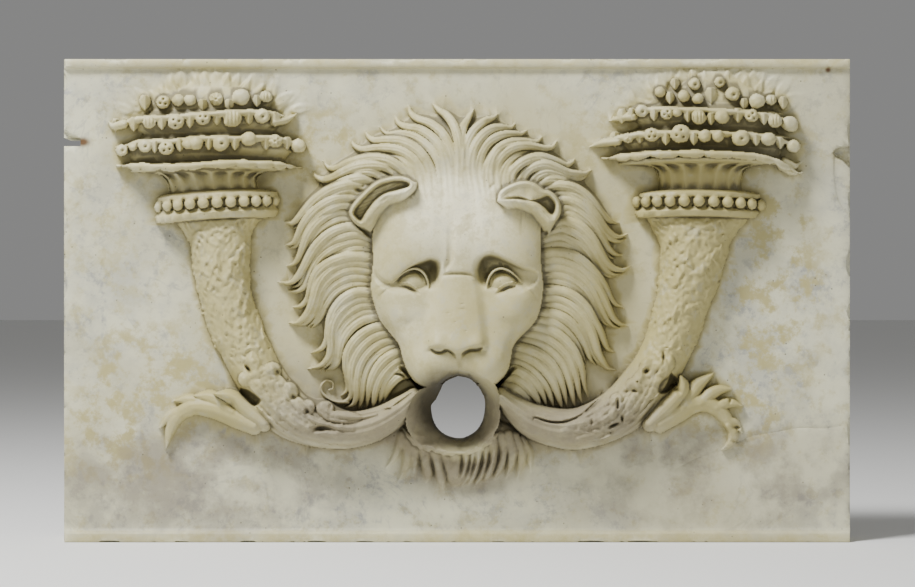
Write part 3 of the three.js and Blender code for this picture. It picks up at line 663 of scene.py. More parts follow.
def carve_brow_hair(relief):
    """The strands over the forehead run on into it as shallow grooves"""
    for lock in MANE_LEFT[:4] + MANE_RIGHT[:4]:
        for spine in lock:
            start = [(2 * spine[0][0] - spine[1][0], spine[0][1] + 16)] + spine[:3]
            relief.groove([(x, y, 2.4, deep) for (x, y), deep in zip(start, (0, 0.9, 1.5, 0))], power=1.5)


def rolled_edge(rim, outline, roll, reach):
    """The edge of an ear round its outline: thin where roll is 0, and thick and rounded where it is 1"""
    return rim * np.sqrt(np.clip(1 - (np.maximum(-outline, 0) / reach) ** 2, 0, 1)) + 2 * roll


def set_ear(relief, outline, inside, edge, reach):
    """Puts an ear's inside within its outline and its edge round it"""
    merged = np.where(outline > -reach, smooth_max(relief.height, edge, 5), relief.height)
    relief.height = np.where(outline > 0, inside, merged)


# Outlines of the ears, and the grooves at their feet and in the fold
LEFT_EAR = [
    (351, 212), (354.5, 205), (364, 194.5), (377, 183.5), (392, 178.5), (404, 178.5), (411, 182.5),
    (409.5, 188.5), (398, 192.5), (387, 195.5), (377.5, 202), (370, 211.5), (363.5, 222), (358, 223),
    (352.5, 217),
]
LEFT_EAR_FOOT = [(354, 221, 1.6, 0), (360, 227, 2.6, 7), (366, 231.5, 3, 9), (372, 238, 2.4, 0)]
RIGHT_EAR = [
    (499, 200.5), (502, 191.5), (515, 184.5), (525, 183), (534, 185), (543, 191.5), (548, 192.5),
    (554, 196.5), (558.5, 204), (558.5, 213), (555, 219), (551, 220), (545.5, 214), (538, 206.5),
    (529, 202), (518, 199.5), (508, 199.8),
]
RIGHT_EAR_OPENING = [
    (526, 200.3), (536, 198), (547, 194), (553, 197.5), (557, 204), (556.5, 212), (553, 216.5), (548, 215),
    (543, 209.5), (536, 204),
]
RIGHT_EAR_FOLD = [
    (502, 199.3, 1.2, 0), (510, 198.2, 1.9, 5), (519, 198.2, 2.1, 7), (528, 200.5, 1.8, 4),
    (533, 202, 1, 0),
]
RIGHT_EAR_FOOT = [(557, 223, 2, 0), (549, 229, 3, 7), (542, 238, 2.4, 0)]


def carve_ears(relief):
    """Two open cups, each with a thin rim behind and a rolled front edge that runs down into the face"""
    # The left one slants up to the right
    cup = relief.within(LEFT_EAR)
    x, y = relief.x, relief.y
    toward = (x - 385) * 0.505 + (y - 197) * 0.863
    rim = np.interp(x, [350, 365, 385, 411], [74, 82, 89, 93]) + 0.9 * relief.noise(5, 15)
    roll = ease(toward, -1, 5) * ease(x, 355, 374) * (1 - 0.55 * ease(x, 400, 416))
    reach = 3.2 + 13 * roll
    edge = rolled_edge(rim, cup, roll, reach)
    edge -= 0.4 * np.cos((x * 0.83 + y * 0.55) * 1.7) * roll * ease(-cup, 0.5, 3)
    flutes = 0.6 * np.cos((x * 0.4 + y) * 1.9) * ease(cup, 1, 4)
    hollow = rim - 20 * ease(cup, 0.5, 4.5) + flutes
    set_ear(relief, cup, hollow, edge, reach)
    relief.pit(358, 190, 3.5, 2.5, 5, -40)
    relief.pit(363, 186, 2, 1.6, 3)
    relief.groove(LEFT_EAR_FOOT)

    # The right one is folded over, and open only at its outer end
    leaf = relief.within(RIGHT_EAR)
    pocket = relief.within(RIGHT_EAR_OPENING)
    toward = (y - 199) * 0.978 - (x - 528) * 0.21
    rim = np.interp(x, [500, 530, 558], [93, 91, 84]) + 1.1 * relief.noise(6, 25)
    roll = ease(toward, -1, 5) * ease(x, 496, 508) * (1 - ease(x, 548, 557))
    reach = 3.2 + 13 * roll
    edge = rolled_edge(rim, leaf, roll, reach)
    edge -= 0.4 * np.cos((x * 0.7 - y * 0.6) * 1.7) * roll * ease(-leaf, 0.5, 3)
    inside = rim - 3 * ease(leaf, 0.5, 5) - 18 * ease(pocket, 0.3, 4)
    set_ear(relief, leaf, inside, edge, reach)
    relief.groove(RIGHT_EAR_FOLD)
    relief.pit(492, 186, 4, 1.8, 3, turn=40)
    relief.groove(RIGHT_EAR_FOOT)


MOUTH_HOLE = [
    (458, 376), (469, 378.5), (477, 385), (483, 394), (485.5, 404), (485, 415), (482, 426), (475, 435),
    (463, 441), (451, 440), (441, 435), (434, 426), (431, 415), (431, 406), (436, 399), (440, 391),
    (445, 382),
]
BASIN_OUTLINE = [
    (458, 369), (470, 371), (481, 376), (489, 380), (496, 386), (499, 396), (500, 408), (500, 419),
    (497, 429), (491, 438), (483, 445), (473, 449.5), (461, 452), (448, 452), (434, 449), (421, 444),
    (412, 436), (406, 425), (407, 412), (412, 400), (418, 391), (426, 387), (436, 384), (443, 377),
    (449, 370.5),
]


def carve_mouth(relief):
    """The basin of the spout, from its rim down to the hole"""
    inner = relief.within(BASIN_OUTLINE)
    hole = relief.within(MOUTH_HOLE)
    # The broken rim of the basin under the mouth
    low = ease(relief.y, 424, 438)
    ragged = inner + (1.4 * relief.noise(4, 13) + 0.8 * relief.noise(9, 17)) * low
    section = np.sqrt(np.clip(1 - (np.minimum(ragged, 0) / 5) ** 2, 0, 1))
    ridge = (36 + 2 * relief.noise(5, 14)) * section * low
    rim = (ragged > -5) & (ragged < 1) & (relief.y > 424)
    relief.height[rim] = np.maximum(relief.height[rim], ridge[rim])
    # The hollow slopes steadily from its rim down to the hole
    away = np.clip(-hole, 0, 60)
    down = np.clip(ragged, 0, 60)
    share = down / (away + down + 1e-6)
    top = np.interp(relief.y, [368, 376, 388, 400, 424, 440, 452], [92, 88, 72, 62, 50, 38, 36])
    crust = 1.1 * relief.noise(5, 11) + 0.7 * relief.noise(2.6, 12)
    bowl = top - (top - 3) * share**1.1 + crust * ease(ragged, 0, 3)
    mask = (ragged > 0) & (hole < 2)
    relief.height[mask] = np.where(relief.y < 384, np.minimum(relief.height, bowl), bowl)[mask]
    deep = hole >= 2
    relief.height[deep] = np.minimum(relief.height[deep], 0)


def carve_head(relief):
    carve_mane(relief)
    carve_beard(relief)
    carve_face(relief)
    carve_brow_hair(relief)
    carve_ears(relief)


# The cornucopias
# The middle of each horn from under its collar to its end in the mouth, with its half width and height
HORN_LEFT = [
    (218.5, 214, 54, 40), (218.8, 221, 44, 42), (219.2, 227, 37.5, 43), (219.8, 234, 33.5, 44),
    (220.4, 242, 31, 45), (221.2, 256, 29.6, 45), (222.3, 272, 28.2, 45), (224.5, 290, 26.2, 45),
    (230, 312, 26, 44), (238, 334, 25.5, 44), (248, 354, 25, 45), (259, 376, 25, 47), (273, 398, 26, 48),
    (293, 416, 24.5, 49), (318, 426, 22, 50), (345, 430, 19.5, 52), (367, 427, 18, 56), (386, 419, 16, 60),
    (402, 408, 13.5, 65), (414, 397, 9.5, 68),
]
HORN_RIGHT = [
    (695.5, 213, 58, 40), (695.3, 220, 51, 42), (695, 226, 45.5, 43), (694.7, 233, 41, 44),
    (694.2, 242, 36.5, 45), (692.8, 256, 33, 45), (690.5, 272, 31, 45), (686, 290, 28.5, 45),
    (680.5, 308, 26.5, 44), (674.5, 328, 25.5, 44), (667, 348, 25, 45), (657, 368, 25, 47),
    (642, 390, 26, 48), (623, 409, 25, 49), (600, 422, 23, 50), (576, 429, 21.5, 51), (553, 427, 20, 54),
    (532, 420, 18, 58), (515, 408, 14, 63), (501, 396, 9.5, 68),
]

# Steps in which a horn's length is measured, and the number of scales after which their wear repeats
HORN_STEPS = 200
SCALE_SPAN = 41


def carve_horn(relief, spine, side):
    """One horn with its scales, down to its tail under the mane"""
    spot, away, share, (half, proud) = relief.along(spine, 58, 80)
    across = np.clip(away / half, -1, 1)
    # Small leaf scales overlap all over the upper body, their tips towards the collar
    path = smooth_path(spine, HORN_STEPS)[:, :2]
    run = np.cumsum(np.hypot(*np.diff(path, axis=0).T))
    travelled = np.interp(share, np.linspace(0, 1, HORN_STEPS - 1), run)
    turned = np.arcsin(across)
    u = turned * 2.7 + 0.3 * relief.noise(9, 31, spot)
    v = travelled / 14 + 0.45 * relief.noise(12, 32, spot)
    rough = np.random.default_rng(33).uniform(0.1, 1.25, (SCALE_SPAN, SCALE_SPAN))
    scales = np.zeros_like(across)
    for layer in (0, 0.5):
        w = 2 * np.abs((u + layer) % 1 - 0.5)
        f = layer - v - 0.45 * (1 - w) ** 1.5
        along, around = np.floor(f).astype(int), np.floor(u + layer).astype(int)
        worn = rough[along % SCALE_SPAN, around % SCALE_SPAN]
        rise = (1 - f % 1) ** 0.8 * ease(1 - w, 0, 0.35) + 0.3 * bell(w / 0.2) * (f % 1 < 0.8)
        scales = np.maximum(scales, rise * worn)
    scales = blurred(scales, 1)
    shown = ease(travelled, 3, 9) * (1 - ease(share, 0.5, 0.58))
    scales = (4.4 * scales + 1.0 * relief.noise(3, 34, spot) - 1.0) * shown
    half = half + 0.5 * scales
    body = (proud + scales) * np.sqrt(np.clip(1 - (away / half) ** 2, 0, 1)) ** 0.9
    # The sheath is smooth, with a low rib and a few soft folds along the tail
    tail = ease(share, 0.6, 0.7)
    for middle, width, lift in ((-0.62, 0.15, 3), (-0.24, 0.15, 3), (0.14, 0.14, 3), (0.6, 0.12, 3.2)):
        body += lift * bell((across * side + middle) / width) * tail
    inside = (np.abs(away) < half) & (relief.y[spot] > spine[0][1] - 4)
    relief.raise_to(spot, np.where(inside, body * ease(half - np.abs(away), -0.2, 1.2), NOWHERE))


def carve_leaf(relief, spine, widths, heights, vein=1.6, power=0.4):
    """A fleshy leaf along spine, with a groove down its middle"""
    n = len(spine) - 1
    points = [(x, y, widths[0] + (widths[1] - widths[0]) * k / n + (widths[2] if 0 < k < n else 0),
               heights[0] + (heights[1] - heights[0]) * k / n) for k, (x, y) in enumerate(spine)]
    relief.ridge(points, power=power, blend=1.5)
    relief.groove([(x, y, 1.6, vein if 0 < k < n else 0) for k, (x, y) in enumerate(spine)], power=1.4)


# Lobes of the leafy sheath: place, half width, half length, height of foot and rise, turn
LOBES_LEFT = [
    (253, 361, 6.5, 9, 43, 8, 20), (246, 379, 7, 7, 43, 9, 30), (260, 381, 11, 22, 44, 8, 35),
    (272, 371, 8, 8, 42, 13, 0), (281, 388, 7, 16, 43, 8, 30), (289, 392, 8, 9, 42, 14, 20),
    (299, 407, 7, 13, 45, 8, 40), (308, 407, 6.5, 6.5, 44, 12, 0), (325, 409, 8, 7, 45, 13, 0),
    (342, 417, 18, 5.5, 49, 8, -4),
]
LOBES_RIGHT = [
    (665, 363, 9, 9, 44, 10, 0), (655, 380, 11, 21, 44, 8, -32), (646, 367, 5.5, 9, 42, 9, -25),
    (639, 382, 7, 16, 43, 8, -30), (634, 386, 7.5, 7.5, 42, 14, 0), (628, 402, 7, 13, 45, 8, -40),
    (617, 403, 7, 9, 45, 12, 0), (609, 414, 11, 7, 46, 10, 30), (583, 423.5, 15, 5, 49, 8, 8),
    (585, 437, 24, 4.5, 45, 6, 6),
]
# The curled leaves at the horns' feet: spine, widths at foot and tip with what the middle has more, heights
CURLS_LEFT = [
    ([(264, 424), (250, 412), (238, 402), (228, 396), (216, 394)], (8, 3, 3), (45, 44)),
    ([
        (254, 426), (238, 417), (222, 411), (205, 407), (191, 407), (179, 415), (171, 428),
        (166, 449)], (9, 1.5, 3), (42, 10)),
    ([(232, 412), (218, 401), (206, 397), (194, 396)], (7, 2, 3), (37, 22)),
    ([(208, 408), (197, 402), (186, 400), (175, 401)], (6, 1.6, 2), (28, 14)),
    ([(190, 411), (179, 413), (169, 418), (160, 428)], (6, 1.5, 1.5), (22, 10)),
]
CURLS_RIGHT = [
    ([(650, 424), (664, 410), (676, 398), (683, 387), (681, 377)], (8, 3, 3), (45, 42)),
    ([
        (660, 424), (676, 412), (692, 404), (706, 403), (719, 410), (728, 422),
        (736, 438)], (9, 1.5, 3), (42, 12)),
    ([(682, 408), (690, 395), (699, 384), (713, 374)], (7, 2, 3), (37, 20)),
    ([(700, 404), (709, 395), (719, 390), (731, 389)], (6, 1.8, 2), (30, 16)),
    ([(716, 408), (724, 404), (732, 403), (742, 406)], (5, 1.5, 1.5), (24, 12)),
    ([(728, 425), (733, 432), (731, 442), (722, 450)], (4, 1.4, 1.5), (18, 9)),
    ([(726, 420), (733, 422), (738, 427), (742, 433)], (4, 1.4, 1), (18, 10)),
]
# Drilled hollows between the lobes: place, size across and along, depth, turn
SHEATH_PITS = [
    (248, 369, 2, 5.2, 16, 37), (277.5, 371.5, 3.4, 3.4, 14, 0), (269.3, 348.5, 1.2, 1.2, 6, 0),
    (279.5, 363.8, 1.3, 1.3, 7, 0), (281, 368.8, 1.2, 1.2, 6, 0), (288, 379.5, 1.3, 1.3, 7, 0),
    (293, 396, 3.6, 4.6, 13, 20), (307, 411.5, 2.2, 2.6, 13, 0), (318, 405, 1.8, 4, 9, 0),
    (320, 428.8, 9, 3.2, 24, 6), (330, 407, 1.8, 4, 7, -20), (232, 403, 5, 3, 8, -35),
    (645.7, 371, 3.6, 3, 15, 0), (663.6, 358, 1.6, 6, 13, 4), (657, 372, 2, 5, 8, -30),
    (637.6, 382, 1.3, 1.3, 7, 0), (634, 390.5, 3.8, 2.4, 12, 0), (617.8, 404.5, 2, 6.5, 16, 0),
    (622, 418.5, 2, 3.6, 16, 0), (614, 425, 7, 1.8, 18, 24), (592, 423, 2, 3, 10, 0),
    (677, 389, 3, 7, 12, 40), (690, 386, 3, 5, 5, 20), (730, 400.7, 1.6, 3, 10, 0),
    (737, 427, 4.4, 2.2, 12, 10), (735, 441, 3.4, 1.8, 8, 0),
]


# Folds, hollows and ribs of the sheaths, and the upper edges of the tails
TAIL_FOLDS = (
    [(251, 358, 4), (259, 380, 6), (275, 405, 6), (301, 425, 5), (336, 436, 3)],
    [(271, 366, 3), (279, 388, 5), (294, 409, 5.5), (321, 423, 5), (352, 428, 3)],
    [(289, 384, 3), (299, 402, 5), (316, 415, 5), (346, 422, 3)],
    [(312, 404, 3), (328, 413, 4.5), (356, 417, 3), (376, 414, 2)],
)
LEAF_CORNERS = (
    [(240, 387), (250, 390), (261, 399.5), (255, 406.5), (247, 402), (239.5, 394)],
    [(671.5, 372), (660, 382), (658, 392.5), (666, 393.5), (674, 387), (678.5, 380)],
)
SHEATH_RIBS = (
    [(254, 404), (264, 414), (278, 428), (294, 437), (312, 443), (330, 445)],
    [(659, 393), (651, 404), (641, 416), (628, 427), (612, 436), (596, 441)],
)
LEFT_TAIL_EDGE = [
    (351, 415, 1, 0), (362, 415, 1.5, 4), (376, 412, 1.6, 5), (388, 409, 1.5, 5), (393, 409, 1, 0),
]
LEFT_TAIL_END = [(390, 408.5, 1, 0), (398, 403, 1.5, 5), (408, 396, 1.5, 5), (418, 389, 1, 0)]
RIGHT_TAIL_EDGE = [
    (533, 421, 0.8, 0), (535, 417.5, 1.6, 6), (546, 421, 1.6, 6), (558, 422.5, 1.5, 6),
    (572, 419.5, 1.5, 5), (585, 413, 2, 7), (594, 405, 2.6, 9), (601, 398, 1.6, 4), (603, 386, 1, 0),
]


def carve_sheath(relief):
    """The leafy sheaths round the horns' lower ends, with their curled leaves"""
    for x, y, across, along, foot, rise, turn in LOBES_LEFT + LOBES_RIGHT:
        relief.mound(x, y, across * 1.1, along * 1.1, foot, rise * 0.75, turn, blend=4)
    for left in (236, 575):
        spot = relief.window(left, left + 106, 348, 432)
        here = relief.height[spot]
        broken = 1.7 * relief.noise(4.5, 83, spot) + 1.1 * relief.noise(2.6, 84, spot)
        relief.height[spot] += broken * ease(here, 30, 40)
    # Soft folds run from the lobes down along the tails
    for side in SIDES:
        for fold in TAIL_FOLDS:
            points = mirrored([(x, y + (3 if side > 0 else 0), half) for x, y, half in fold], side, 457.2)
            relief.lay(points, 2.6, power=0.8)
            relief.groove([(x - side * half * 0.9, y + half * 0.9, 2.2, 2.2 * (0 < k < len(fold) - 1))
                           for k, (x, y, half) in enumerate(points)], power=1.4)
    for spine, widths, heights in CURLS_LEFT + CURLS_RIGHT:
        carve_leaf(relief, spine, (widths[0] * 1.1, widths[1], widths[2] + 1), heights, 0.5)
    for x, y, across, along, depth, turn in SHEATH_PITS:
        relief.pit(x, y, across * 0.85, along * 0.85, depth * 0.7, turn)
    # The three-cornered hollow where the curled leaf leaves the horn, and the rib below it
    for corner in LEAF_CORNERS:
        inside = relief.within(corner)
        relief.height -= 20 * ease(inside, -0.5, 2.5)
    for side, rib in zip(SIDES, SHEATH_RIBS):
        relief.lay([(x, y, 2.0 if 0 < k < 5 else 0.6) for k, (x, y) in enumerate(rib)], 3.4, power=0.8)
        for off_x, off_y, half, depth in ((1.0, 3.0, 1.4, 2.6), (-1.2, -3.4, 1.2, 1.6)):
            relief.groove([(x + side * off_x, y + off_y, half, depth if 0 < k < 5 else 0)
                           for k, (x, y) in enumerate(rib)])
    # The upper edges of the tails where they lie against the mane
    relief.groove(LEFT_TAIL_EDGE)
    relief.groove(LEFT_TAIL_END)
    relief.groove(RIGHT_TAIL_EDGE)


# Rows of the horn's mouth: y, middle x, half width and how proud, from the collar up to the heap's crown
MOUTH_ROWS_LEFT = [
    (219.5, 215, 52, 40), (218, 216, 60, 53), (212, 217, 62, 56), (209.5, 217, 60, 50), (204, 217, 59, 47),
    (199.5, 217, 59, 50), (198, 217.5, 61, 56), (193.5, 217, 60, 56), (191.5, 215, 54, 48),
    (190, 214, 44.5, 40), (182, 212.5, 44.5, 40), (177, 211.5, 46, 41), (173, 211, 51, 42),
    (170, 209, 60, 44), (168.5, 208, 72, 50), (167.5, 209, 78, 58), (164.5, 209, 79, 60),
    (163.5, 209, 76, 48), (160, 209, 75, 38), (154, 209, 78, 39), (148.5, 211, 81, 44), (140, 211, 81, 47),
    (138, 210, 72, 38), (132, 208, 66, 33), (127, 206, 70, 35), (123, 205, 75, 38), (116, 204, 75, 39),
    (114, 203, 62, 31), (108, 205, 54, 26), (101, 207, 53, 25), (94, 210, 46, 16), (86, 212, 30, 8),
    (78, 214, 14, 3),
]
MOUTH_ROWS_RIGHT = [
    (217, 696, 52, 40), (215.5, 696, 60, 53), (210, 697, 62, 56), (207.5, 698, 60, 50), (202, 698, 59, 47),
    (197.5, 699, 59, 50), (196, 699, 61, 56), (192, 700, 60, 56), (190.5, 700, 52, 48),
    (189, 700, 41.5, 40), (181, 700, 41.5, 40), (170, 700.5, 44, 41), (166, 701, 49, 42),
    (163, 701.5, 60, 44), (161.5, 702, 74, 50), (160.5, 703, 84, 58), (157, 704, 85, 60),
    (156, 704, 80, 48), (152.5, 704, 76, 38), (146, 704, 78, 39), (141, 705, 82, 44), (133, 706, 83, 47),
    (131, 706, 73, 38), (125, 707, 67, 33), (121, 708, 70, 35), (117, 708, 74, 38), (110, 708, 75, 39),
    (108, 709, 63, 31), (102, 711, 53, 25), (95, 712, 52, 24), (87, 713, 42, 16), (79, 714, 28, 8),
    (71, 715, 12, 3),
]


# How far the rows' ends hang down, at this distance from their middle
ROW_DROOP, DROOP_HALF = 2.2, 62


def carve_mouth_rows(relief, rows, flute_top, tilt):
    """The turned mouth of a horn: its section at each height is half an oval"""
    table = np.array(rows)[::-1]
    middle = table[:, 1].mean()
    spot = relief.window(middle - 108, middle + 108, 62, 228)
    x, y = relief.x[spot], relief.y[spot]
    seen = y + tilt * (x - middle) * ease(y, 165, 195) - ROW_DROOP * ((x - middle) / DROOP_HALF) ** 2
    cx, half, proud = (np.interp(seen, table[:, 0], table[:, k]) for k in (1, 2, 3))
    across = (x - cx) / half
    height = proud * np.sqrt(np.clip(1 - across**2, 0, 1)) ** 0.8
    # Eight upright flutes with round heads under the leafy rim
    turn = np.arcsin(np.clip(across, -1, 1)) * 8.2
    wave = np.abs(np.sin(turn))
    head = flute_top + 3.5 * (1 - wave) ** 2
    band = ease(seen, head, head + 3) * (1 - ease(seen, 188, 191))
    height -= band * (11 - 6 * ease(seen, head + 2, head + 14)) * wave**1.5 * (np.abs(across) < 0.98)
    inside = (np.abs(across) < 1) & (seen > table[0, 0]) & (seen < table[-1, 0])
    relief.height[spot] = np.where(inside, np.maximum(relief.height[spot], height), relief.height[spot])


# Seed heads in the heap: x, y, radius, height, kind
BUDS_LEFT = [
    (122, 150, 6.0, "holed"), (133, 147, 4.5, "bud"), (145, 146, 6.8, "holed"), (155, 146, 5, "leaf"),
    (166.5, 148, 7.8, "pitted"), (180, 144, 5, "leaf"), (188, 144, 6.0, "bud"), (196, 143, 7.4, "bud"),
    (209, 143, 5, "leaf"), (221, 143, 8.4, "holed"), (235, 143, 5, "leaf"), (248.5, 139, 7.6, "bud"),
    (266, 142, 5.5, "leaf"), (275, 141, 7.2, "flower"), (287, 142, 5, "leaf"), (298, 146, 7.6, "bud"),
    (116, 124, 5, "leaf"), (134, 123, 6, "leaf"), (149.5, 122, 7, "fluted"), (162, 122, 5.5, "leaf"),
    (176, 122, 7.8, "pitted"), (190, 121, 5, "leaf"), (203, 118, 7.2, "pitted"), (217, 118, 5, "leaf"),
    (232.5, 118, 9.4, "fluted"), (249, 117, 5, "leaf"), (262, 116, 7.8, "holed"), (275, 118, 6, "leaf"),
    (145, 101, 6.5, "leaf"), (163, 102, 7, "pitted"), (178, 100, 6, "bud"), (190, 100, 6.4, "bud"),
    (203, 104, 5, "leaf"), (216, 99, 6.5, "flower"), (229, 104, 5, "leaf"), (241, 97, 9, "bud"),
    (257, 100, 5, "leaf"), (266, 97, 6, "fluted"),
]
BUDS_RIGHT = [
    (615, 138, 6, "leaf"), (628, 138, 5.5, "pitted"), (640, 136, 5, "leaf"), (652, 135, 7.6, "pitted"),
    (666, 138, 5, "leaf"), (680.5, 134, 9.2, "pitted"), (694, 138, 5, "leaf"), (705, 136, 6.5, "bud"),
    (718, 136, 6.5, "bud"), (741, 138, 8.6, "holed"), (756, 139, 5, "leaf"), (768, 139, 7.2, "bud"),
    (780, 142, 5, "leaf"), (793, 146, 6.8, "bud"), (622, 115, 6, "leaf"), (632, 113, 5, "leaf"),
    (642, 111, 7, "holed"), (654, 114, 5, "leaf"), (667, 114, 6.4, "pitted"), (677, 113, 4.5, "bud"),
    (688, 115, 5, "leaf"), (699, 117, 7.2, "fluted"), (711, 118, 5, "leaf"), (722, 117, 7.6, "bud"),
    (738, 114, 6, "leaf"), (752, 116, 7.2, "pitted"), (764, 118, 5, "leaf"), (775, 121, 7, "fluted"),
    (790, 124, 8.4, "bud"), (660, 92, 5.6, "bud"), (670, 97, 5, "leaf"), (684, 96, 6, "bud"),
    (675, 83, 5, "leaf"), (694.5, 84, 6.6, "holed"), (698, 99, 5.5, "bud"), (711, 94, 6.4, "leaf"),
    (720, 82, 5.6, "holed"), (733, 94, 7, "holed"), (744, 103, 5, "leaf"), (757, 101, 8.4, "bud"),
    (771, 100, 5.5, "fluted"), (783, 102, 5, "leaf"),
]

# Half the width of the rounded heap that the seed heads stand on
HEAP_HALF = 99


def carve_buds(relief, buds, middle, shift):
    """Seed heads that stand out from the rounded heap, each of its own kind"""
    for x, y, radius, kind in buds:
        proud = float(np.interp(y - shift, [80, 100, 108, 120, 132, 146], [20, 38, 44, 58, 62, 70]))
        height = proud * math.sqrt(max(1 - ((x - middle) / HEAP_HALF) ** 2, 0.02))
        height += relief.random.uniform(-1.5, 1.5)
        radius *= 1.0 + relief.random.uniform(-0.04, 0.06)
        spot = relief.window(x - radius - 4, x + radius + 4, y - radius - 5, y + radius + 7)
        u, v = relief.x[spot] - x, relief.y[spot] - y
        angle = np.arctan2(v, u)
        if kind == "leaf":
            # A small leaf that hangs between the seed heads
            s = (v + radius) / (2.5 * radius)
            wide = 0.9 * radius * np.sin(math.pi * (0.15 + 0.85 * np.clip(s, 0, 1))) ** 0.8 + 0.01
            body = height - 7 - 4 * (u / wide) ** 2 - 4 * s + 1.5 * bell(u / 1.3)
            reach, rim = np.where((s > 0) & (s < 1), np.abs(u) / wide, 9), 1
        else:
            reach = np.hypot(u, v * 1.06) / radius
            rim = 1 + 0.09 * relief.noise(6, 42, spot)
            body = height + 1 - 7 * np.clip(reach / rim, 0, 1) ** 2.8
            if kind == "flower":
                petals = 2.6 * np.cos(angle * 3 + x) ** 2 * ease(reach, 0.25, 0.55)
                body -= petals + 4 * bell(reach / 0.2)
            elif kind == "fluted":
                body -= 1.8 * ease(np.cos(u * 1.7 + x), -0.2, 0.6) * ease(1 - reach, 0.05, 0.3)
            elif kind == "pitted":
                for k in range(3):
                    a = x * 1.7 + k * 2.09
                    hole = np.hypot(u - 0.42 * radius * math.cos(a), v - 0.42 * radius * math.sin(a))
                    body -= 6 * bell(hole / 1.3)
            elif kind == "holed":
                hole = np.exp(-(((u - 0.8) ** 2 + (v - 0.4) ** 2) / 3.4))
                body -= 6 * hole + 1.0 * bell((reach - 0.5) / 0.14)
            body += 1.1 * relief.noise(4, 41, spot)
        relief.raise_to(spot, np.where(reach < rim, body, NOWHERE))


# The beads between the two collars
BEAD_COUNT = 11
BEAD_PROUD = 59


def carve_beads(relief, start, end, sag):
    """A row of beads between the two collars, worn at its ends, with a drilled hole between each two"""
    for i, t in enumerate(np.linspace(0, 1, BEAD_COUNT)):
        # The beads stand closer towards the ends, where the collar turns away
        turned = (end[0] - start[0]) * (0.5 - 0.5 * math.cos(math.pi * t)) * 0.35
        x = start[0] + turned + (end[0] - start[0]) * t * 0.65
        y = start[1] + (end[1] - start[1]) * t - sag * math.sin(math.pi * t)
        proud = BEAD_PROUD * math.sqrt(max(1 - ((2 * t - 1) * 0.93) ** 2, 0.03))
        radius = 5.8 - 1.2 * abs(2 * t - 1) ** 2
        spot = relief.window(x - 9, x + 9, y - 9, y + 9)
        shape = dome(relief.x[spot] - x, relief.y[spot] - y, radius, 5.6)
        body = proud - 6 + 9.5 * np.maximum(shape, 0) ** 0.8 + 0.5 * relief.noise(3, 43, spot)
        relief.raise_to(spot, np.where(shape > 0, body, NOWHERE))
        if i > 0:
            for up in (-4.2, 4.4):
                relief.pit(x - 6.2, y + up, 1.3, 1.2, 5)


def carve_leafy_edge(relief, points, middle, proud, wave, half):
    """A band of leaf tips that hangs over: its lower edge is scalloped and its ends run out in points"""
    path = smooth_path(points, 60)
    low, high = path.min(0), path.max(0)
    spot = relief.window(low[0] - 4, high[0] + 4, low[1] - 10, high[1] + 12)
    x, y = relief.x[spot], relief.y[spot]
    line = np.interp(x, path[:, 0], path[:, 1])
    ends = ease(x, path[0, 0], path[0, 0] + 16) * (1 - ease(x, path[-1, 0] - 16, path[-1, 0]))
    length = path[-1, 0] - path[0, 0]
    turn = np.arcsin(np.clip((x - middle) / length * 2, -1, 1)) * wave + 0.6 * relief.noise(17, 51, spot)
    tip = np.abs(np.sin(turn)) ** 0.7
    below = (half + (2.6 * tip - 0.6) + 0.7 * relief.noise(5, 52, spot)) * (0.25 + 0.75 * ends)
    above = half * (0.25 + 0.75 * ends) + 0.8 * relief.noise(6, 53, spot)
    v = y - line
    top = proud * np.sqrt(np.clip(1 - ((x - middle) / length * 1.94) ** 2, 0.05, 1))
    fall = np.where(v > 0, (v / np.maximum(below, 0.5)) ** 2 * 4, (v / np.maximum(above, 0.5)) ** 2 * 5)
    body = top - fall - 2.0 * (1 - tip) + 0.5 * relief.noise(3.5, 54, spot)
    relief.raise_to(spot, np.where((v < below) & (v > -above), body, NOWHERE))


# The crest's leaves: their fan, and half their length
CREST_RISE = 40
CREST_TURN = 84
CREST_HALF = 13


def carve_crest(relief, middle, top, spread):
    """Broad low leaves that fan out behind the heap, almost worn away"""
    for ring, (count, reach, height) in enumerate(((15, 1.0, 2.6), (13, 0.84, 5), (11, 0.68, 9))):
        for i in range(count):
            t = (i + 0.5 * (ring % 2)) / (count - 1)
            if t > 1:
                continue
            angle = math.radians(-CREST_TURN + 2 * CREST_TURN * t + relief.random.uniform(-5, 5))
            length = reach * relief.random.uniform(0.9, 1.06)
            x = middle + spread * length * math.sin(angle)
            y = top + CREST_RISE - CREST_RISE * length * math.cos(angle)
            lean = math.degrees(math.atan2(CREST_RISE * math.sin(angle), spread * math.cos(angle)))
            lean += relief.random.uniform(-14, 14)
            spot = relief.window(x - 18, x + 18, y - 18, y + 18)
            c, s = math.cos(math.radians(lean)), math.sin(math.radians(lean))
            u = (relief.x[spot] - x) * c + (relief.y[spot] - y) * s
            v = -(relief.x[spot] - x) * s + (relief.y[spot] - y) * c
            taper = np.clip(1 - (v / CREST_HALF) ** 2, 0, 1) ** 0.7
            narrow = 5.2 * taper * (0.6 + 0.4 * ease(v, -12, 4))
            body = height + 0.15 * v - 1.4 * bell(u / 1.7) + 0.9 * relief.noise(5, 61, spot) - (u / 4) ** 2
            inside = (np.abs(u) < narrow) & (np.abs(v) < CREST_HALF)
            relief.raise_to(spot, np.where(inside, np.maximum(body, 0.8), NOWHERE))


def wear(relief, x0, x1, y0, y1):
    """Softens what is carved between two corners"""
    spot = relief.window(x0, x1, y0, y1)
    relief.height[spot] = softened(relief.height[spot], 1)


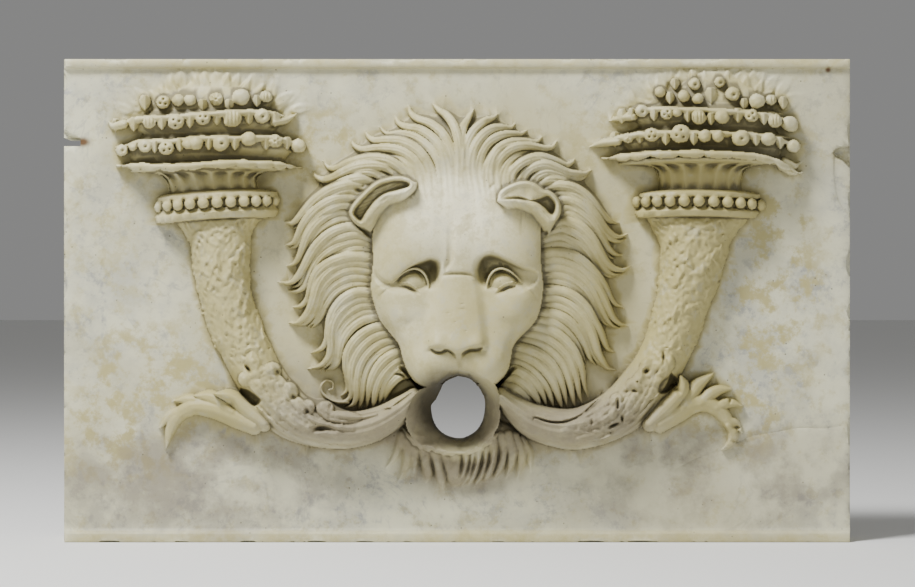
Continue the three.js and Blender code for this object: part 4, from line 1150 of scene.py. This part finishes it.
# The leafy edges of the rows and of the rim: places, the middle they turn round, how proud, waves. Then the
# leaf points that stand out beyond the heap on either side
LEAFY_EDGES = (
    ([(118, 125), (138, 119), (170, 117), (205, 114), (240, 112), (268, 113), (288, 117)], 204, 52, 9),
    ([(120, 147), (140, 142), (172, 141), (205, 138), (240, 138), (275, 138), (300, 145)], 210, 62, 9),
    ([(618, 117), (640, 110), (670, 109), (705, 110), (740, 112), (770, 116), (794, 123)], 706, 52, 9),
    ([(604, 143), (622, 137), (655, 133), (695, 133), (735, 134), (770, 137), (796, 145)], 700, 62, 9),
    ([(121, 165.5), (140, 166), (165, 166.5), (185, 166), (205, 164.5), (235, 163), (262, 163.5),
      (282, 165), (297, 167.5)], 208, 72, 11),
    ([(606, 158), (630, 156), (655, 154), (690, 153), (725, 154), (755, 156), (775, 161),
      (798, 172)], 703, 74, 11),
)
LEAF_POINTS = (
    [(274, 122), (286, 120), (297, 114)],
    [(124, 124), (114, 126), (108, 122)],
    [(634, 116), (620, 118), (609, 121)],
    [(618, 141), (602, 143), (590, 147)],
    [(784, 162), (794, 166), (800, 162)],
    [(782, 166), (792, 172), (799, 174)],
)

# The crests: their middle, top and spread, and the corners between which they are worn
CRESTS = ((212, 73, 88), (708, 69, 88))
WORN_CRESTS = ((100, 320, 70.5, 135), (590, 825, 70.5, 135))
# The middles of the two heaps, the tops of the flutes, and the rows of beads: start, end and how far the
# middle of the row rises
HEAP_MIDDLES = (209, 705)
FLUTE_TOP_LEFT, FLUTE_TOP_RIGHT = 170, 162
BEADS_LEFT = ((159, 207), (275, 200.5), 1.5)
BEADS_RIGHT = ((637, 202), (761, 205), 2.5)


def carve_cornucopias(relief):
    """The two horns of plenty, from their horns out to their heaps"""
    carve_horn(relief, HORN_LEFT, -1)
    carve_horn(relief, HORN_RIGHT, 1)
    carve_sheath(relief)
    for crest in CRESTS:
        carve_crest(relief, *crest)
    for corners in WORN_CRESTS:
        wear(relief, *corners)
    carve_mouth_rows(relief, MOUTH_ROWS_LEFT, FLUTE_TOP_LEFT, 0.06)
    carve_mouth_rows(relief, MOUTH_ROWS_RIGHT, FLUTE_TOP_RIGHT, -0.012)
    # Leaf edges behind the seed heads of each row, then the rim's
    for points, middle, proud, wave in LEAFY_EDGES:
        carve_leafy_edge(relief, points, middle, proud, wave, 3.1 if proud > 70 else 2.5)
    carve_buds(relief, BUDS_LEFT, HEAP_MIDDLES[0], 0)
    carve_buds(relief, BUDS_RIGHT, HEAP_MIDDLES[1], -8)
    carve_beads(relief, *BEADS_LEFT)
    carve_beads(relief, *BEADS_RIGHT)
    for spine in LEAF_POINTS:
        relief.ridge([(*spine[0], 5.5, 34), (*spine[1], 4.5, 24), (*spine[2], 0.8, 10)], power=0.4)


# Where the steps of the two bands begin, how wide the steps are, and how far the bands stand out
TOP_BAND, BOTTOM_BAND = 66.5, 530.5
BAND_STEP = 3
BAND_PROUD = 7


def carve_ground(relief):
    """The slightly uneven ground, and its bands"""
    relief.height += 0.5 * relief.noise(60, 1) + 0.25 * relief.noise(14, 2)
    # The bands along the top and the bottom, with a soft step
    top = 1 - ease(relief.y, TOP_BAND, TOP_BAND + BAND_STEP)
    bottom = ease(relief.y, BOTTOM_BAND, BOTTOM_BAND + BAND_STEP)
    lip = 1.5 * ease(relief.y, BOTTOM_BAND - 2.5, BOTTOM_BAND) * (1 - bottom)
    bands = BAND_PROUD * np.maximum(top, bottom) + 0.25 * relief.noise(9, 3)
    relief.height = np.maximum(relief.height, bands) + lip


# Outlines of the broken stone and of the cut edge, and the cracks
BROKEN_SLOT = [(58, 131), (66, 131.5), (70, 135), (76, 137), (80, 141), (76, 144), (66, 148), (58, 149)]
CUT_CORNER = [
    (833, 153), (837, 148.5), (843, 147), (856, 146.5), (856, 172), (850, 168), (843, 161), (836, 157),
]
CUT_STRIP = [(834, 156), (856, 160), (856, 216), (848, 214), (838, 200), (834, 176)]
CRACKS = (
    [(725, 447), (750, 438), (775, 431), (800, 429), (826, 427), (851, 425)],
    [(735, 446), (700, 458), (672, 470)],
)


def wear_edges(relief):
    """Chips along the outer edges, the broken mouth of the slot, the mended corner and the crack"""
    x, y = relief.x, relief.y
    from_side = np.minimum(x - PANEL_LEFT, PANEL_RIGHT - x)
    out = np.minimum(from_side, np.minimum(y - PANEL_TOP, PANEL_BOTTOM - y))
    chipped = np.clip(relief.noise(23, 71) - 0.45, 0, 1) * 4 + np.clip(relief.noise(6, 72) - 0.6, 0, 1) * 2
    chipped *= np.where(y > 520, 0.3, 1)
    relief.height -= 7 * (1 - ease(out, chipped * 0.8, chipped * 1.6 + 0.8)) * (chipped > 0.02)
    relief.height -= 1.2 * (1 - ease(out, 0, 1.6))
    # Broken stone above the slot's mouth
    broken = relief.within(BROKEN_SLOT)
    relief.height -= (14 + 2 * relief.noise(4, 73)) * ease(broken, -1.5, 1.5)
    # The cut back edge at the right, round above, with a shallow strip below it
    cut = relief.within(CUT_CORNER)
    relief.height -= (16 + 1.5 * relief.noise(5, 74)) * ease(cut, -1, 1)
    strip = relief.within(CUT_STRIP)
    relief.height -= 1.8 * ease(strip, -1, 1.2)
    for points in CRACKS:
        n = len(points)
        crack = [(px, py + 1.2 * (-1) ** k, 0.9, 0.9 if 0 < k < n - 1 else 0.3)
                 for k, (px, py) in enumerate(points)]
        relief.groove(crack, steps=30)


def carve_panel(relief):
    carve_ground(relief)
    carve_cornucopias(relief)
    carve_head(relief)
    carve_mouth(relief)
    wear_edges(relief)


# The marble, coloured by these measures that the mesh keeps
MEASURES = ("hollow", "carved", "raised")
# Soft ovals of the drawing where the marble is clean with painted light, warm, stained, sooty, aged with
# painted shade, crusted, rinsed, stained and painted as shade in the basin, and rusty: x, y, half width,
# half height, softness and strength
CLEAN_AND_LIT_SPOTS = ((457, 265, 110, 120, 0.5, 0.15), (455, 212, 100, 85, 0.7, 0.6), (408, 320, 45, 45, 0.9, 0.3))
WARM_SPOTS = ((457, 270, 255, 215, 0.35, 0.6), (215, 130, 130, 90, 0.6, 0.3), (705, 130, 130, 90, 0.6, 0.3))
STAINED_SPOTS = (
    (160, 395, 90, 100, 0.6, 1), (120, 430, 80, 80, 0.6, 1), (770, 300, 80, 130, 0.6, 1),
    (105, 260, 60, 130, 0.6, 0.5), (735, 420, 70, 60, 0.6, 1), (330, 160, 60, 70, 0.6, 1),
    (778, 220, 40, 40, 0.6, 1), (600, 130, 60, 60, 0.6, 0.6), (215, 130, 110, 70, 0.6, 0.6),
    (705, 120, 110, 70, 0.6, 0.6), (340, 300, 60, 110, 0.6, 0.6),
)
SOOTY_SPOTS = ((200, 478, 230, 85, 0.7, 0.65), (720, 478, 230, 85, 0.7, 0.65))
AGED_AND_SHADED_SPOTS = (
    (695, 280, 120, 200, 0.5, 1.5), (235, 280, 90, 200, 0.5, 0.9), (590, 300, 60, 150, 0.6, 0.5),
    (500, 330, 60, 80, 0.6, 0.45), (462, 320, 45, 65, 0.8, 0.5), (190, 415, 80, 50, 0.6, 0.7),
)
AGED_AND_SHADED_MANE_SPOTS = ((622, 285, 45, 130, 0.7, 0.45),)
CRUSTED_SPOTS = (
    (457, 420, 85, 66, 0.75, 1), (462, 468, 90, 45, 0.7, 0.95), (360, 425, 130, 42, 0.8, 1),
    (560, 425, 130, 44, 0.8, 1), (300, 395, 70, 50, 0.8, 0.5), (625, 395, 70, 50, 0.8, 0.5),
)
RINSED_SPOTS = ((466, 450, 40, 14, 0.7, 0.7),)
BASIN_STAIN_AND_SHADE_SPOTS = ((447, 402, 46, 46, 0.55, 1),)
BASIN_FADE_SPOTS = ((466, 449, 58, 28, 0.5, 1),)
RUSTY_SPOTS = ((83, 142, 11, 7, 0.8, 1), (828, 70, 4, 4, 0.8, 1))
# How deep into the slab an oval reaches, in metres
SPOT_DEPTH = 0.4


class Value:
    """A number that changes over the surface. Sums with it add the Math nodes that work it out"""

    def __init__(self, tree, socket):
        self.tree = tree
        self.socket = socket

    def math(self, operation, *others):
        return self.tree.node("ShaderNodeMath", {"operation": operation}, [self, *others])

    def __add__(self, other):
        return self.math("ADD", other)

    def __radd__(self, other):
        return self.math("ADD", other)

    def __sub__(self, other):
        return self.math("SUBTRACT", other)

    def __rsub__(self, other):
        return self.tree.node("ShaderNodeMath", {"operation": "SUBTRACT"}, [other, self])

    def __mul__(self, other):
        return self.math("MULTIPLY", other)

    def __rmul__(self, other):
        return self.math("MULTIPLY", other)

    def above(self, low, high):
        """0 up to low, 1 from high on, and a smooth step between"""
        return self.tree.node("ShaderNodeMapRange", {"interpolation_type": "SMOOTHSTEP", "clamp": True},
                              {"Value": self, "From Min": low, "From Max": high})

    def clipped(self):
        return self.tree.node("ShaderNodeClamp", {}, [self])


class ShaderTree:
    """The nodes of one material"""

    def __init__(self, name):
        self.material = bpy.data.materials.new(name)
        self.material.use_nodes = True
        self.nodes = self.material.node_tree.nodes
        self.links = self.material.node_tree.links
        self.nodes.clear()

    def node(self, kind, settings, inputs, output=0):
        node = self.nodes.new(kind)
        for key, value in settings.items():
            setattr(node, key, value)
        items = inputs.items() if isinstance(inputs, dict) else enumerate(inputs)
        for key, value in items:
            if isinstance(value, Value):
                self.links.new(value.socket, node.inputs[key])
            else:
                node.inputs[key].default_value = value
        return Value(self, node.outputs[output])

    def finish(self, shader):
        output = self.nodes.new("ShaderNodeOutputMaterial")
        self.links.new(shader.socket, output.inputs["Surface"])

    def mix(self, factor, first, second, blend="MIX"):
        """Colour first where factor is 0 and second where it is 1"""
        node = self.nodes.new("ShaderNodeMix")
        node.data_type = "RGBA"
        node.blend_type = blend
        for key, value in ((0, factor), (6, first), (7, second)):
            if isinstance(value, Value):
                self.links.new(value.socket, node.inputs[key])
            else:
                node.inputs[key].default_value = value
        return Value(self, node.outputs[2])

    def noise(self, place, scale, detail=3.0, roughness=0.55, distortion=0.0):
        return self.node("ShaderNodeTexNoise", {}, {
            "Vector": place, "Scale": scale, "Detail": detail, "Roughness": roughness,
            "Distortion": distortion})

    def cells(self, place, scale):
        """How far a place is from the nearest of many scattered points"""
        return self.node("ShaderNodeTexVoronoi", {}, {"Vector": place, "Scale": scale}, "Distance")


def shade(colour):
    return (*colour, 1.0)


def spot_place(x, y):
    """A place on the ground of the drawing, in metres"""
    return (x - MIDDLE) * SQUARE, GROUND_Y, (UNDERSIDE - y) * SQUARE


def marble(settings):
    """The weathered marble: its stone first, then its patina, stains, water deposit, dirt and rust"""
    tree = ShaderTree("weathered_marble")
    place = tree.node("ShaderNodeTexCoord", {}, {}, "Object")
    hollow, carved, raised = (
        tree.node("ShaderNodeAttribute", {"attribute_name": name}, {}, "Fac") for name in MEASURES)

    def near(spots):
        """The sum of soft ovals, each as high as its strength at its middle and 0 outside"""
        total = None
        for x, y, across, up, soft, strength in spots:
            size = (across * SQUARE, SPOT_DEPTH, up * SQUARE)
            moved = tree.node("ShaderNodeVectorMath", {"operation": "SUBTRACT"}, [place, spot_place(x, y)])
            scaled = tree.node("ShaderNodeVectorMath", {"operation": "DIVIDE"}, [moved, size])
            reach = tree.node("ShaderNodeVectorMath", {"operation": "LENGTH"}, [scaled], "Value")
            oval = 1 - reach.above(1 - soft, 1)
            if strength != 1:
                oval = oval * strength
            total = oval if total is None else total + oval
        return total

    broad = tree.noise(place, 4.5, 4, 0.6)
    cloud = tree.noise(place, 14, 5, 0.62)
    grain = tree.noise(place, 60, 6, 0.7)
    fine = tree.noise(place, 260, 4, 0.6)

    # Clean stone, with grey clouds and flecks where the ground lies open
    colour = tree.mix(cloud.above(0.38, 0.68) * 0.8, shade(settings.stone), shade(settings.stone_grey))
    colour = tree.mix(broad.above(0.5, 0.66) * 0.35, colour, shade(settings.stone_grey))
    flecks = grain.above(0.5, 0.64) * cloud.above(0.42, 0.56) * (1 - carved)
    colour = tree.mix(flecks * 0.7, colour, shade(settings.vein))
    vein_field = tree.noise(place, 5, 5, 0.6, 1.4)
    vein = 1 - (vein_field - 0.5).math("ABSOLUTE").above(0.0, 0.02)
    colour = tree.mix(vein * grain.above(0.4, 0.6) * 0.4, colour, shade(settings.vein))

    # Warm patina on the carving and in broad clouds round it, less on the forehead and cheeks. Raised edges
    # are worn whiter, and the forehead and left cheek are painted whiter, partly as worn stone and partly
    # as painted light
    clean_and_lit = near(CLEAN_AND_LIT_SPOTS)
    warm = (carved * 0.85 + hollow * 0.6 + near(WARM_SPOTS) + broad.above(0.42, 0.68) * 0.4
            - clean_and_lit * 1.7 - raised * 0.5).clipped()
    colour = tree.mix((clean_and_lit * 1.2 + raised * 0.5).clipped(), colour, shade(settings.worn))
    colour = tree.mix(warm * (0.55 + 0.75 * cloud), colour, shade(settings.patina))

    # Ochre stains
    stains = near(STAINED_SPOTS).clipped()
    patches = tree.noise(place, 27, 6, 0.7)
    colour = tree.mix(stains * patches.above(0.45, 0.6) * 0.9, colour, shade(settings.ochre))
    speckled = patches.above(0.5, 0.62) * grain.above(0.42, 0.58) * 0.45
    colour = tree.mix(speckled, colour, shade(settings.ochre))
    # The foot of the slab is duller. The horns and the right side of the mane are more aged, and partly
    # painted darker as shade, most on the right horn, the right of the mane and the curled left leaf
    colour = tree.mix(near(SOOTY_SPOTS) * (0.3 + 0.7 * cloud.above(0.35, 0.6)), colour,
                      shade(settings.deposit))
    aged_and_shaded = carved * near(AGED_AND_SHADED_SPOTS) + near(AGED_AND_SHADED_MANE_SPOTS)
    colour = tree.mix((aged_and_shaded * (0.4 + 0.8 * grain)).clipped(), colour, shade(settings.ochre))
    # Small blotches all over the carving
    skin = tree.noise(place, 38, 6, 0.75)
    colour = tree.mix(carved * skin.above(0.47, 0.6) * 0.4, colour, shade(settings.ochre))
    colour = tree.mix(carved * (1 - skin.above(0.36, 0.47)) * 0.3, colour, shade(settings.stone_grey))

    # The deposit that water left round the mouth, over the beard and the horns' tails
    crust = near(CRUSTED_SPOTS).clipped() * (1 - near(RINSED_SPOTS))
    crust = (crust * (0.3 + 1.3 * tree.noise(place, 40, 6, 0.7))).clipped()
    colour = tree.mix(crust * 0.8, colour, shade(settings.deposit))
    # The hollow of the basin round the hole is painted very dark: partly stain, partly painted shade in the
    # deep bowl
    basin_stain_and_shade_mask = (near(BASIN_STAIN_AND_SHADE_SPOTS) * (1 - near(BASIN_FADE_SPOTS))).clipped()
    colour = tree.mix((basin_stain_and_shade_mask * (0.75 + 0.6 * grain)).clipped(), colour, shade(settings.basin_stain_and_shade))

    # Dirt held in the hollows, and painted shade that darkens the grooves, sockets and recesses
    dirt_and_shade = (hollow * (0.5 + grain)).above(0.05, 0.62)
    colour = tree.mix(dirt_and_shade * 0.75, colour, shade(settings.dirt_and_shade))

    # Small black specks, a rusty slot and a rust spot
    dots = tree.cells(place, 85.0)
    sparse = tree.noise(place, 31, 2, 0.5).above(0.56, 0.6)
    specks = (1 - dots.above(0.05, 0.13)) * sparse
    colour = tree.mix(specks * 0.75, colour, shade(settings.dirt_and_shade))
    colour = tree.mix(near(RUSTY_SPOTS).clipped(), colour, shade(settings.rust))

    roughness = (0.5 + 0.12 * cloud + 0.2 * crust + 0.1 * hollow).clipped()
    pits = 1 - tree.cells(place, 170.0).above(0.04, 0.2)
    surface = fine * 0.35 + grain * 0.5 - pits * tree.noise(place, 18, 3, 0.5).above(0.45, 0.65) * 0.8
    bump = tree.node("ShaderNodeBump", {}, {"Height": surface, "Strength": 0.35, "Distance": 0.0012})
    shader = tree.node("ShaderNodeBsdfPrincipled", {}, {
        "Base Color": colour, "Roughness": roughness, "Normal": bump})
    tree.finish(shader)
    return tree.material


# The panel
def switch_to(mode):
    bpy.ops.object.mode_set(mode=mode)


def deselect_all():
    bpy.ops.object.select_all(action="DESELECT")


def read_off(relief, field, x, y):
    """Values of a field of the grid at places of the drawing"""
    u = np.clip((x - relief.left) / relief.step_x, 0, relief.columns - 1.001)
    v = np.clip((y - relief.top) / relief.step_y, 0, relief.rows - 1.001)
    j, i = u.astype(int), v.astype(int)
    fu, fv = u - j, v - i
    above = field[i, j] * (1 - fu) + field[i, j + 1] * fu
    below = field[i + 1, j] * (1 - fu) + field[i + 1, j + 1] * fu
    return above * (1 - fv) + below * fv


def snap_to(relief, x, y, outline):
    """Moves the grid's crossings that lie close to a closed outline onto it, and says what lies inside"""
    path = smooth_path([*outline, outline[0]], 10 * len(outline))
    inside = relief.within(outline)
    near = np.abs(inside) < 0.62 * relief.step_x
    for i, j in np.argwhere(near):
        spot = np.array([x[i, j], y[i, j]])
        start, end = path[:-1, :2], path[1:, :2]
        run = end - start
        t = np.clip(((spot - start) * run).sum(1) / np.maximum((run * run).sum(1), 1e-9), 0, 1)
        feet = start + run * t[:, None]
        foot = feet[np.argmin(((feet - spot) ** 2).sum(1))]
        x[i, j], y[i, j] = foot
    return np.where(near, 0, inside)


def make_panel(settings):
    """The carved front as one grid, with its hole and slot cut, its sides drawn back and its back closed"""
    relief = Relief(PANEL_LEFT, PANEL_RIGHT, PANEL_TOP, PANEL_BOTTOM, settings.pitch / SQUARE, 7)
    carve_panel(relief)
    columns, rows = relief.columns, relief.rows
    deselect_all()
    bpy.ops.mesh.primitive_grid_add(x_subdivisions=columns - 1, y_subdivisions=rows - 1, size=1)
    panel = bpy.context.object
    panel.name = panel.data.name = "carved_panel"
    mesh = panel.data
    if len(mesh.vertices) != columns * rows:
        raise RuntimeError("the grid has %d crossings, not %d" % (len(mesh.vertices), columns * rows))
    flat = np.empty(3 * len(mesh.vertices))
    mesh.vertices.foreach_get("co", flat)
    flat = flat.reshape(-1, 3)
    column = np.rint((flat[:, 0] + 0.5) * (columns - 1)).astype(int)
    row = np.rint((0.5 - flat[:, 1]) * (rows - 1)).astype(int)

    x, y = relief.x.copy(), relief.y.copy()
    inside = snap_to(relief, x, y, MOUTH_HOLE)
    slot = (relief.x < SLOT_END) & (np.abs(relief.y - SLOT_MIDDLE) < SLOT_HALF)
    height = relief.height * MILLIMETRE
    # What stands nearer to the camera looks larger on the drawing, so it is drawn in by as much
    closer = 1 - height / CAMERA_DISTANCE
    drawn_x = FRAME_MIDDLE[0] + (x - FRAME_MIDDLE[0]) * closer
    drawn_y = FRAME_MIDDLE[1] + (y - FRAME_MIDDLE[1]) * closer
    places = np.stack([
        (drawn_x - MIDDLE) * SQUARE, GROUND_Y - height, (UNDERSIDE - drawn_y) * SQUARE], -1)
    mesh.vertices.foreach_set("co", places[row, column].ravel())

    # Faces within the mouth's hole and the cramp's slot go
    corner = np.empty(len(mesh.loops), dtype=np.int32)
    mesh.loops.foreach_get("vertex_index", corner)
    corner = corner.reshape(-1, 4)
    through = (inside > -1e-6) | slot
    mesh.polygons.foreach_set("select", through[row[corner], column[corner]].all(1))
    mesh.edges.foreach_set("select", np.zeros(len(mesh.edges), dtype=bool))
    mesh.vertices.foreach_set("select", np.zeros(len(mesh.vertices), dtype=bool))
    bpy.context.tool_settings.mesh_select_mode = (False, False, True)
    switch_to("EDIT")
    bpy.ops.mesh.delete(type="FACE")
    # The borders are drawn back to the rear plane and closed there
    bpy.ops.mesh.select_mode(type="EDGE")
    bpy.ops.mesh.select_all(action="DESELECT")
    bpy.ops.mesh.select_non_manifold(
        extend=False, use_wire=False, use_boundary=True, use_multi_face=False, use_non_contiguous=False,
        use_verts=False)
    bpy.ops.mesh.extrude_edges_move(TRANSFORM_OT_translate={"value": (0, MILLIMETRE, 0)})
    bpy.ops.transform.resize(value=(1, 0, 1), center_override=(0, BACK_Y, 0))
    bpy.ops.mesh.fill(use_beauty=False)
    bpy.ops.mesh.select_all(action="SELECT")
    bpy.ops.mesh.quads_convert_to_tris(quad_method="SHORTEST_DIAGONAL", ngon_method="BEAUTY")
    switch_to("OBJECT")

    thin = panel.modifiers.new("thin", "DECIMATE")
    thin.ratio = min(settings.triangles / len(mesh.polygons), 1)
    bpy.ops.object.modifier_apply(modifier="thin")
    bpy.ops.object.shade_smooth_by_angle(angle=math.radians(SHARP_ANGLE))
    mark_hollows(panel, relief)
    return panel


def mark_hollows(panel, relief):
    """Keeps on the mesh how hollow each point lies, whether it is carved, and how far it stands out"""
    mesh = panel.data
    places = np.empty(3 * len(mesh.vertices))
    mesh.vertices.foreach_get("co", places)
    places = places.reshape(-1, 3)
    height = np.maximum(GROUND_Y - places[:, 1], 0)
    closer = 1 - height / CAMERA_DISTANCE
    x = FRAME_MIDDLE[0] + (places[:, 0] / SQUARE + MIDDLE - FRAME_MIDDLE[0]) / closer
    y = FRAME_MIDDLE[1] + (UNDERSIDE - places[:, 2] / SQUARE - FRAME_MIDDLE[1]) / closer
    field = relief.height
    # The open ground beside a tall form is not a hollow
    enclosed = 0.3 + 0.7 * ease(field, 0.5, 8)
    near = np.clip(blurred(field, 3) - field, 0, 5) / 5
    wide = np.clip(blurred(blurred(field, 9), 9) - field, 0, 30) / 30
    # How hollow each point lies: the marble darkens it with dirt and painted shade, and warms it with
    # patina
    hollow = np.clip((0.75 * near + 0.8 * wide) * enclosed, 0, 1)
    carved = np.clip((blurred(field, 4) - 1) / 6, 0, 1)
    on_front = places[:, 1] < GROUND_Y + 0.02
    raised = np.clip((field - blurred(field, 3)) / 3, 0, 1) * carved
    for name, values in zip(MEASURES, (hollow, carved, raised)):
        attribute = mesh.attributes.new(name, "FLOAT", "POINT")
        attribute.data.foreach_set("value", np.where(on_front, read_off(relief, values, x, y), 0.0))


def colour_setting(name, description, default):
    return bpy.props.FloatVectorProperty(
        name=name, description=description, default=default, subtype="COLOR")


class PanelSettings(bpy.types.PropertyGroup):
    """Sizes and colours of the panel"""

    pitch: bpy.props.FloatProperty(
        name="Grid pitch", description="Spacing of the grid that the front is carved on", default=0.00115,
        min=0.0008, max=0.004, unit="LENGTH", precision=5)
    triangles: bpy.props.IntProperty(
        name="Triangles", description="Triangles left in the panel when it is thinned", default=190000,
        min=20000)
    stone: colour_setting("Stone", "Clean marble", (0.65, 0.635, 0.455))
    # Also painted onto the forehead and left cheek, partly as light
    worn: colour_setting("Worn stone", "Whiter marble where the forehead is worn", (0.97, 0.92, 0.65))
    stone_grey: colour_setting("Grey stone", "Greyer clouds in the marble", (0.43, 0.43, 0.35))
    vein: colour_setting("Veins", "Flecks and veins of the marble", (0.27, 0.275, 0.27))
    patina: colour_setting("Patina", "Cream skin on the carving", (0.53, 0.48, 0.25))
    # Also painted onto the horns, the right of the mane and the curled leaf, partly as shade
    ochre: colour_setting("Ochre", "Yellow-brown stains", (0.415, 0.362, 0.15))
    deposit: colour_setting("Deposit", "Crust left by water", (0.20, 0.168, 0.118))
    # Painted into the hollow of the basin, partly as stain and partly as shade
    basin_stain_and_shade: colour_setting("Basin", "Stain in the hollow of the mouth", (0.062, 0.052, 0.03))
    # Also painted into the grooves and recesses as shade
    dirt_and_shade: colour_setting("Dirt", "Dirt in the hollows", (0.085, 0.072, 0.04))
    rust: colour_setting("Rust", "Rust in the slot", (0.12, 0.06, 0.02))


class StageSettings(bpy.types.PropertyGroup):
    """The floor, the lights and the camera"""

    floor: colour_setting("Floor", "Colour of the floor", (0.80, 0.80, 0.78))
    surround: colour_setting("Surround", "Colour of the soft light from all round", (0.64, 0.64, 0.635))
    surround_strength: bpy.props.FloatProperty(
        name="Surround strength", description="Strength of the light from all round", default=0.38, min=0)
    key_power: bpy.props.FloatProperty(
        name="Key light", description="Power of the light from the upper left", default=230,
        unit="POWER", min=0)
    fill_power: bpy.props.FloatProperty(
        name="Fill light", description="Power of the light from the right", default=14, unit="POWER", min=0)
    distance: bpy.props.FloatProperty(
        name="Camera distance", description="From the camera to the panel's ground",
        default=CAMERA_DISTANCE, unit="LENGTH", min=1)


class PANEL_OT_carve(bpy.types.Operator):
    """Carve the panel and give it its marble"""

    bl_idname = "panel.carve"
    bl_label = "Carve the Panel"

    def execute(self, context):
        settings = context.scene.lion_panel
        panel = make_panel(settings)
        panel.data.materials.append(marble(settings))
        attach(panel, BODY)
        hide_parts(NODE)
        return {"FINISHED"}


class PANEL_OT_stage(bpy.types.Operator):
    """Lay the floor, hang the lights and set up the camera"""

    bl_idname = "panel.stage"
    bl_label = "Set the Stage"

    def execute(self, context):
        settings = context.scene.panel_stage
        deselect_all()
        bpy.ops.mesh.primitive_plane_add(size=FLOOR_SIZE, location=(0, 0, 0))
        floor = context.object
        floor.name = floor.data.name = "floor"
        tree = ShaderTree("pale_floor")
        shader = tree.node("ShaderNodeBsdfPrincipled", {}, {
            "Base Color": shade(settings.floor), "Roughness": 0.9})
        tree.finish(shader)
        floor.data.materials.append(tree.material)

        world = bpy.data.worlds.new("soft_surround")
        world.use_nodes = True
        background = world.node_tree.nodes["Background"]
        background.inputs["Color"].default_value = shade(settings.surround)
        background.inputs["Strength"].default_value = settings.surround_strength
        context.scene.world = world

        aim = Vector((0, GROUND_Y, 0.36))
        for name, place, size, power in (
            ("key", (-1.4, -1.6, 3.2), 1.0, settings.key_power),
            ("fill", (2.4, -2.6, 1.1), 1.6, settings.fill_power),
        ):
            bpy.ops.object.light_add(type="AREA", location=place)
            light = context.object
            light.name = light.data.name = name
            light.data.energy = power
            light.data.size = size
            light.rotation_euler = (aim - Vector(place)).to_track_quat("-Z", "Y").to_euler()

        middle_x = (FRAME_MIDDLE[0] - MIDDLE) * SQUARE
        middle_z = (UNDERSIDE - FRAME_MIDDLE[1]) * SQUARE
        bpy.ops.object.camera_add(
            location=(middle_x, GROUND_Y - settings.distance, middle_z), rotation=(math.pi / 2, 0, 0))
        camera = context.object
        camera.name = camera.data.name = "camera"
        camera.data.sensor_width = SENSOR_WIDTH
        camera.data.lens = SENSOR_WIDTH * settings.distance / FRAME_WIDTH
        camera.data.clip_start = 0.05
        context.scene.camera = camera
        return {"FINISHED"}


class PANEL_PT_lion(bpy.types.Panel):
    """Buttons and settings of the lion mask panel"""

    bl_idname = "PANEL_PT_lion"
    bl_label = "Lion Mask Panel"
    bl_space_type = "VIEW_3D"
    bl_region_type = "UI"
    bl_category = "Lion Mask Panel"

    def draw(self, context):
        for settings, operator in (
            (context.scene.lion_panel, PANEL_OT_carve), (context.scene.panel_stage, PANEL_OT_stage)):
            box = self.layout.box()
            for name in settings.__annotations__:
                box.prop(settings, name)
            box.operator(operator.bl_idname)


CLASSES = (PanelSettings, StageSettings, PANEL_OT_carve, PANEL_OT_stage, PANEL_PT_lion)


def register():
    for each in CLASSES:
        bpy.utils.register_class(each)
    bpy.types.Scene.lion_panel = bpy.props.PointerProperty(type=PanelSettings)
    bpy.types.Scene.panel_stage = bpy.props.PointerProperty(type=StageSettings)


def unregister():
    del bpy.types.Scene.lion_panel
    del bpy.types.Scene.panel_stage
    for each in reversed(CLASSES):
        bpy.utils.unregister_class(each)


def main():
    register()
    bpy.ops.panel.carve()
    bpy.ops.panel.stage()


if __name__ == "__main__":
    main()
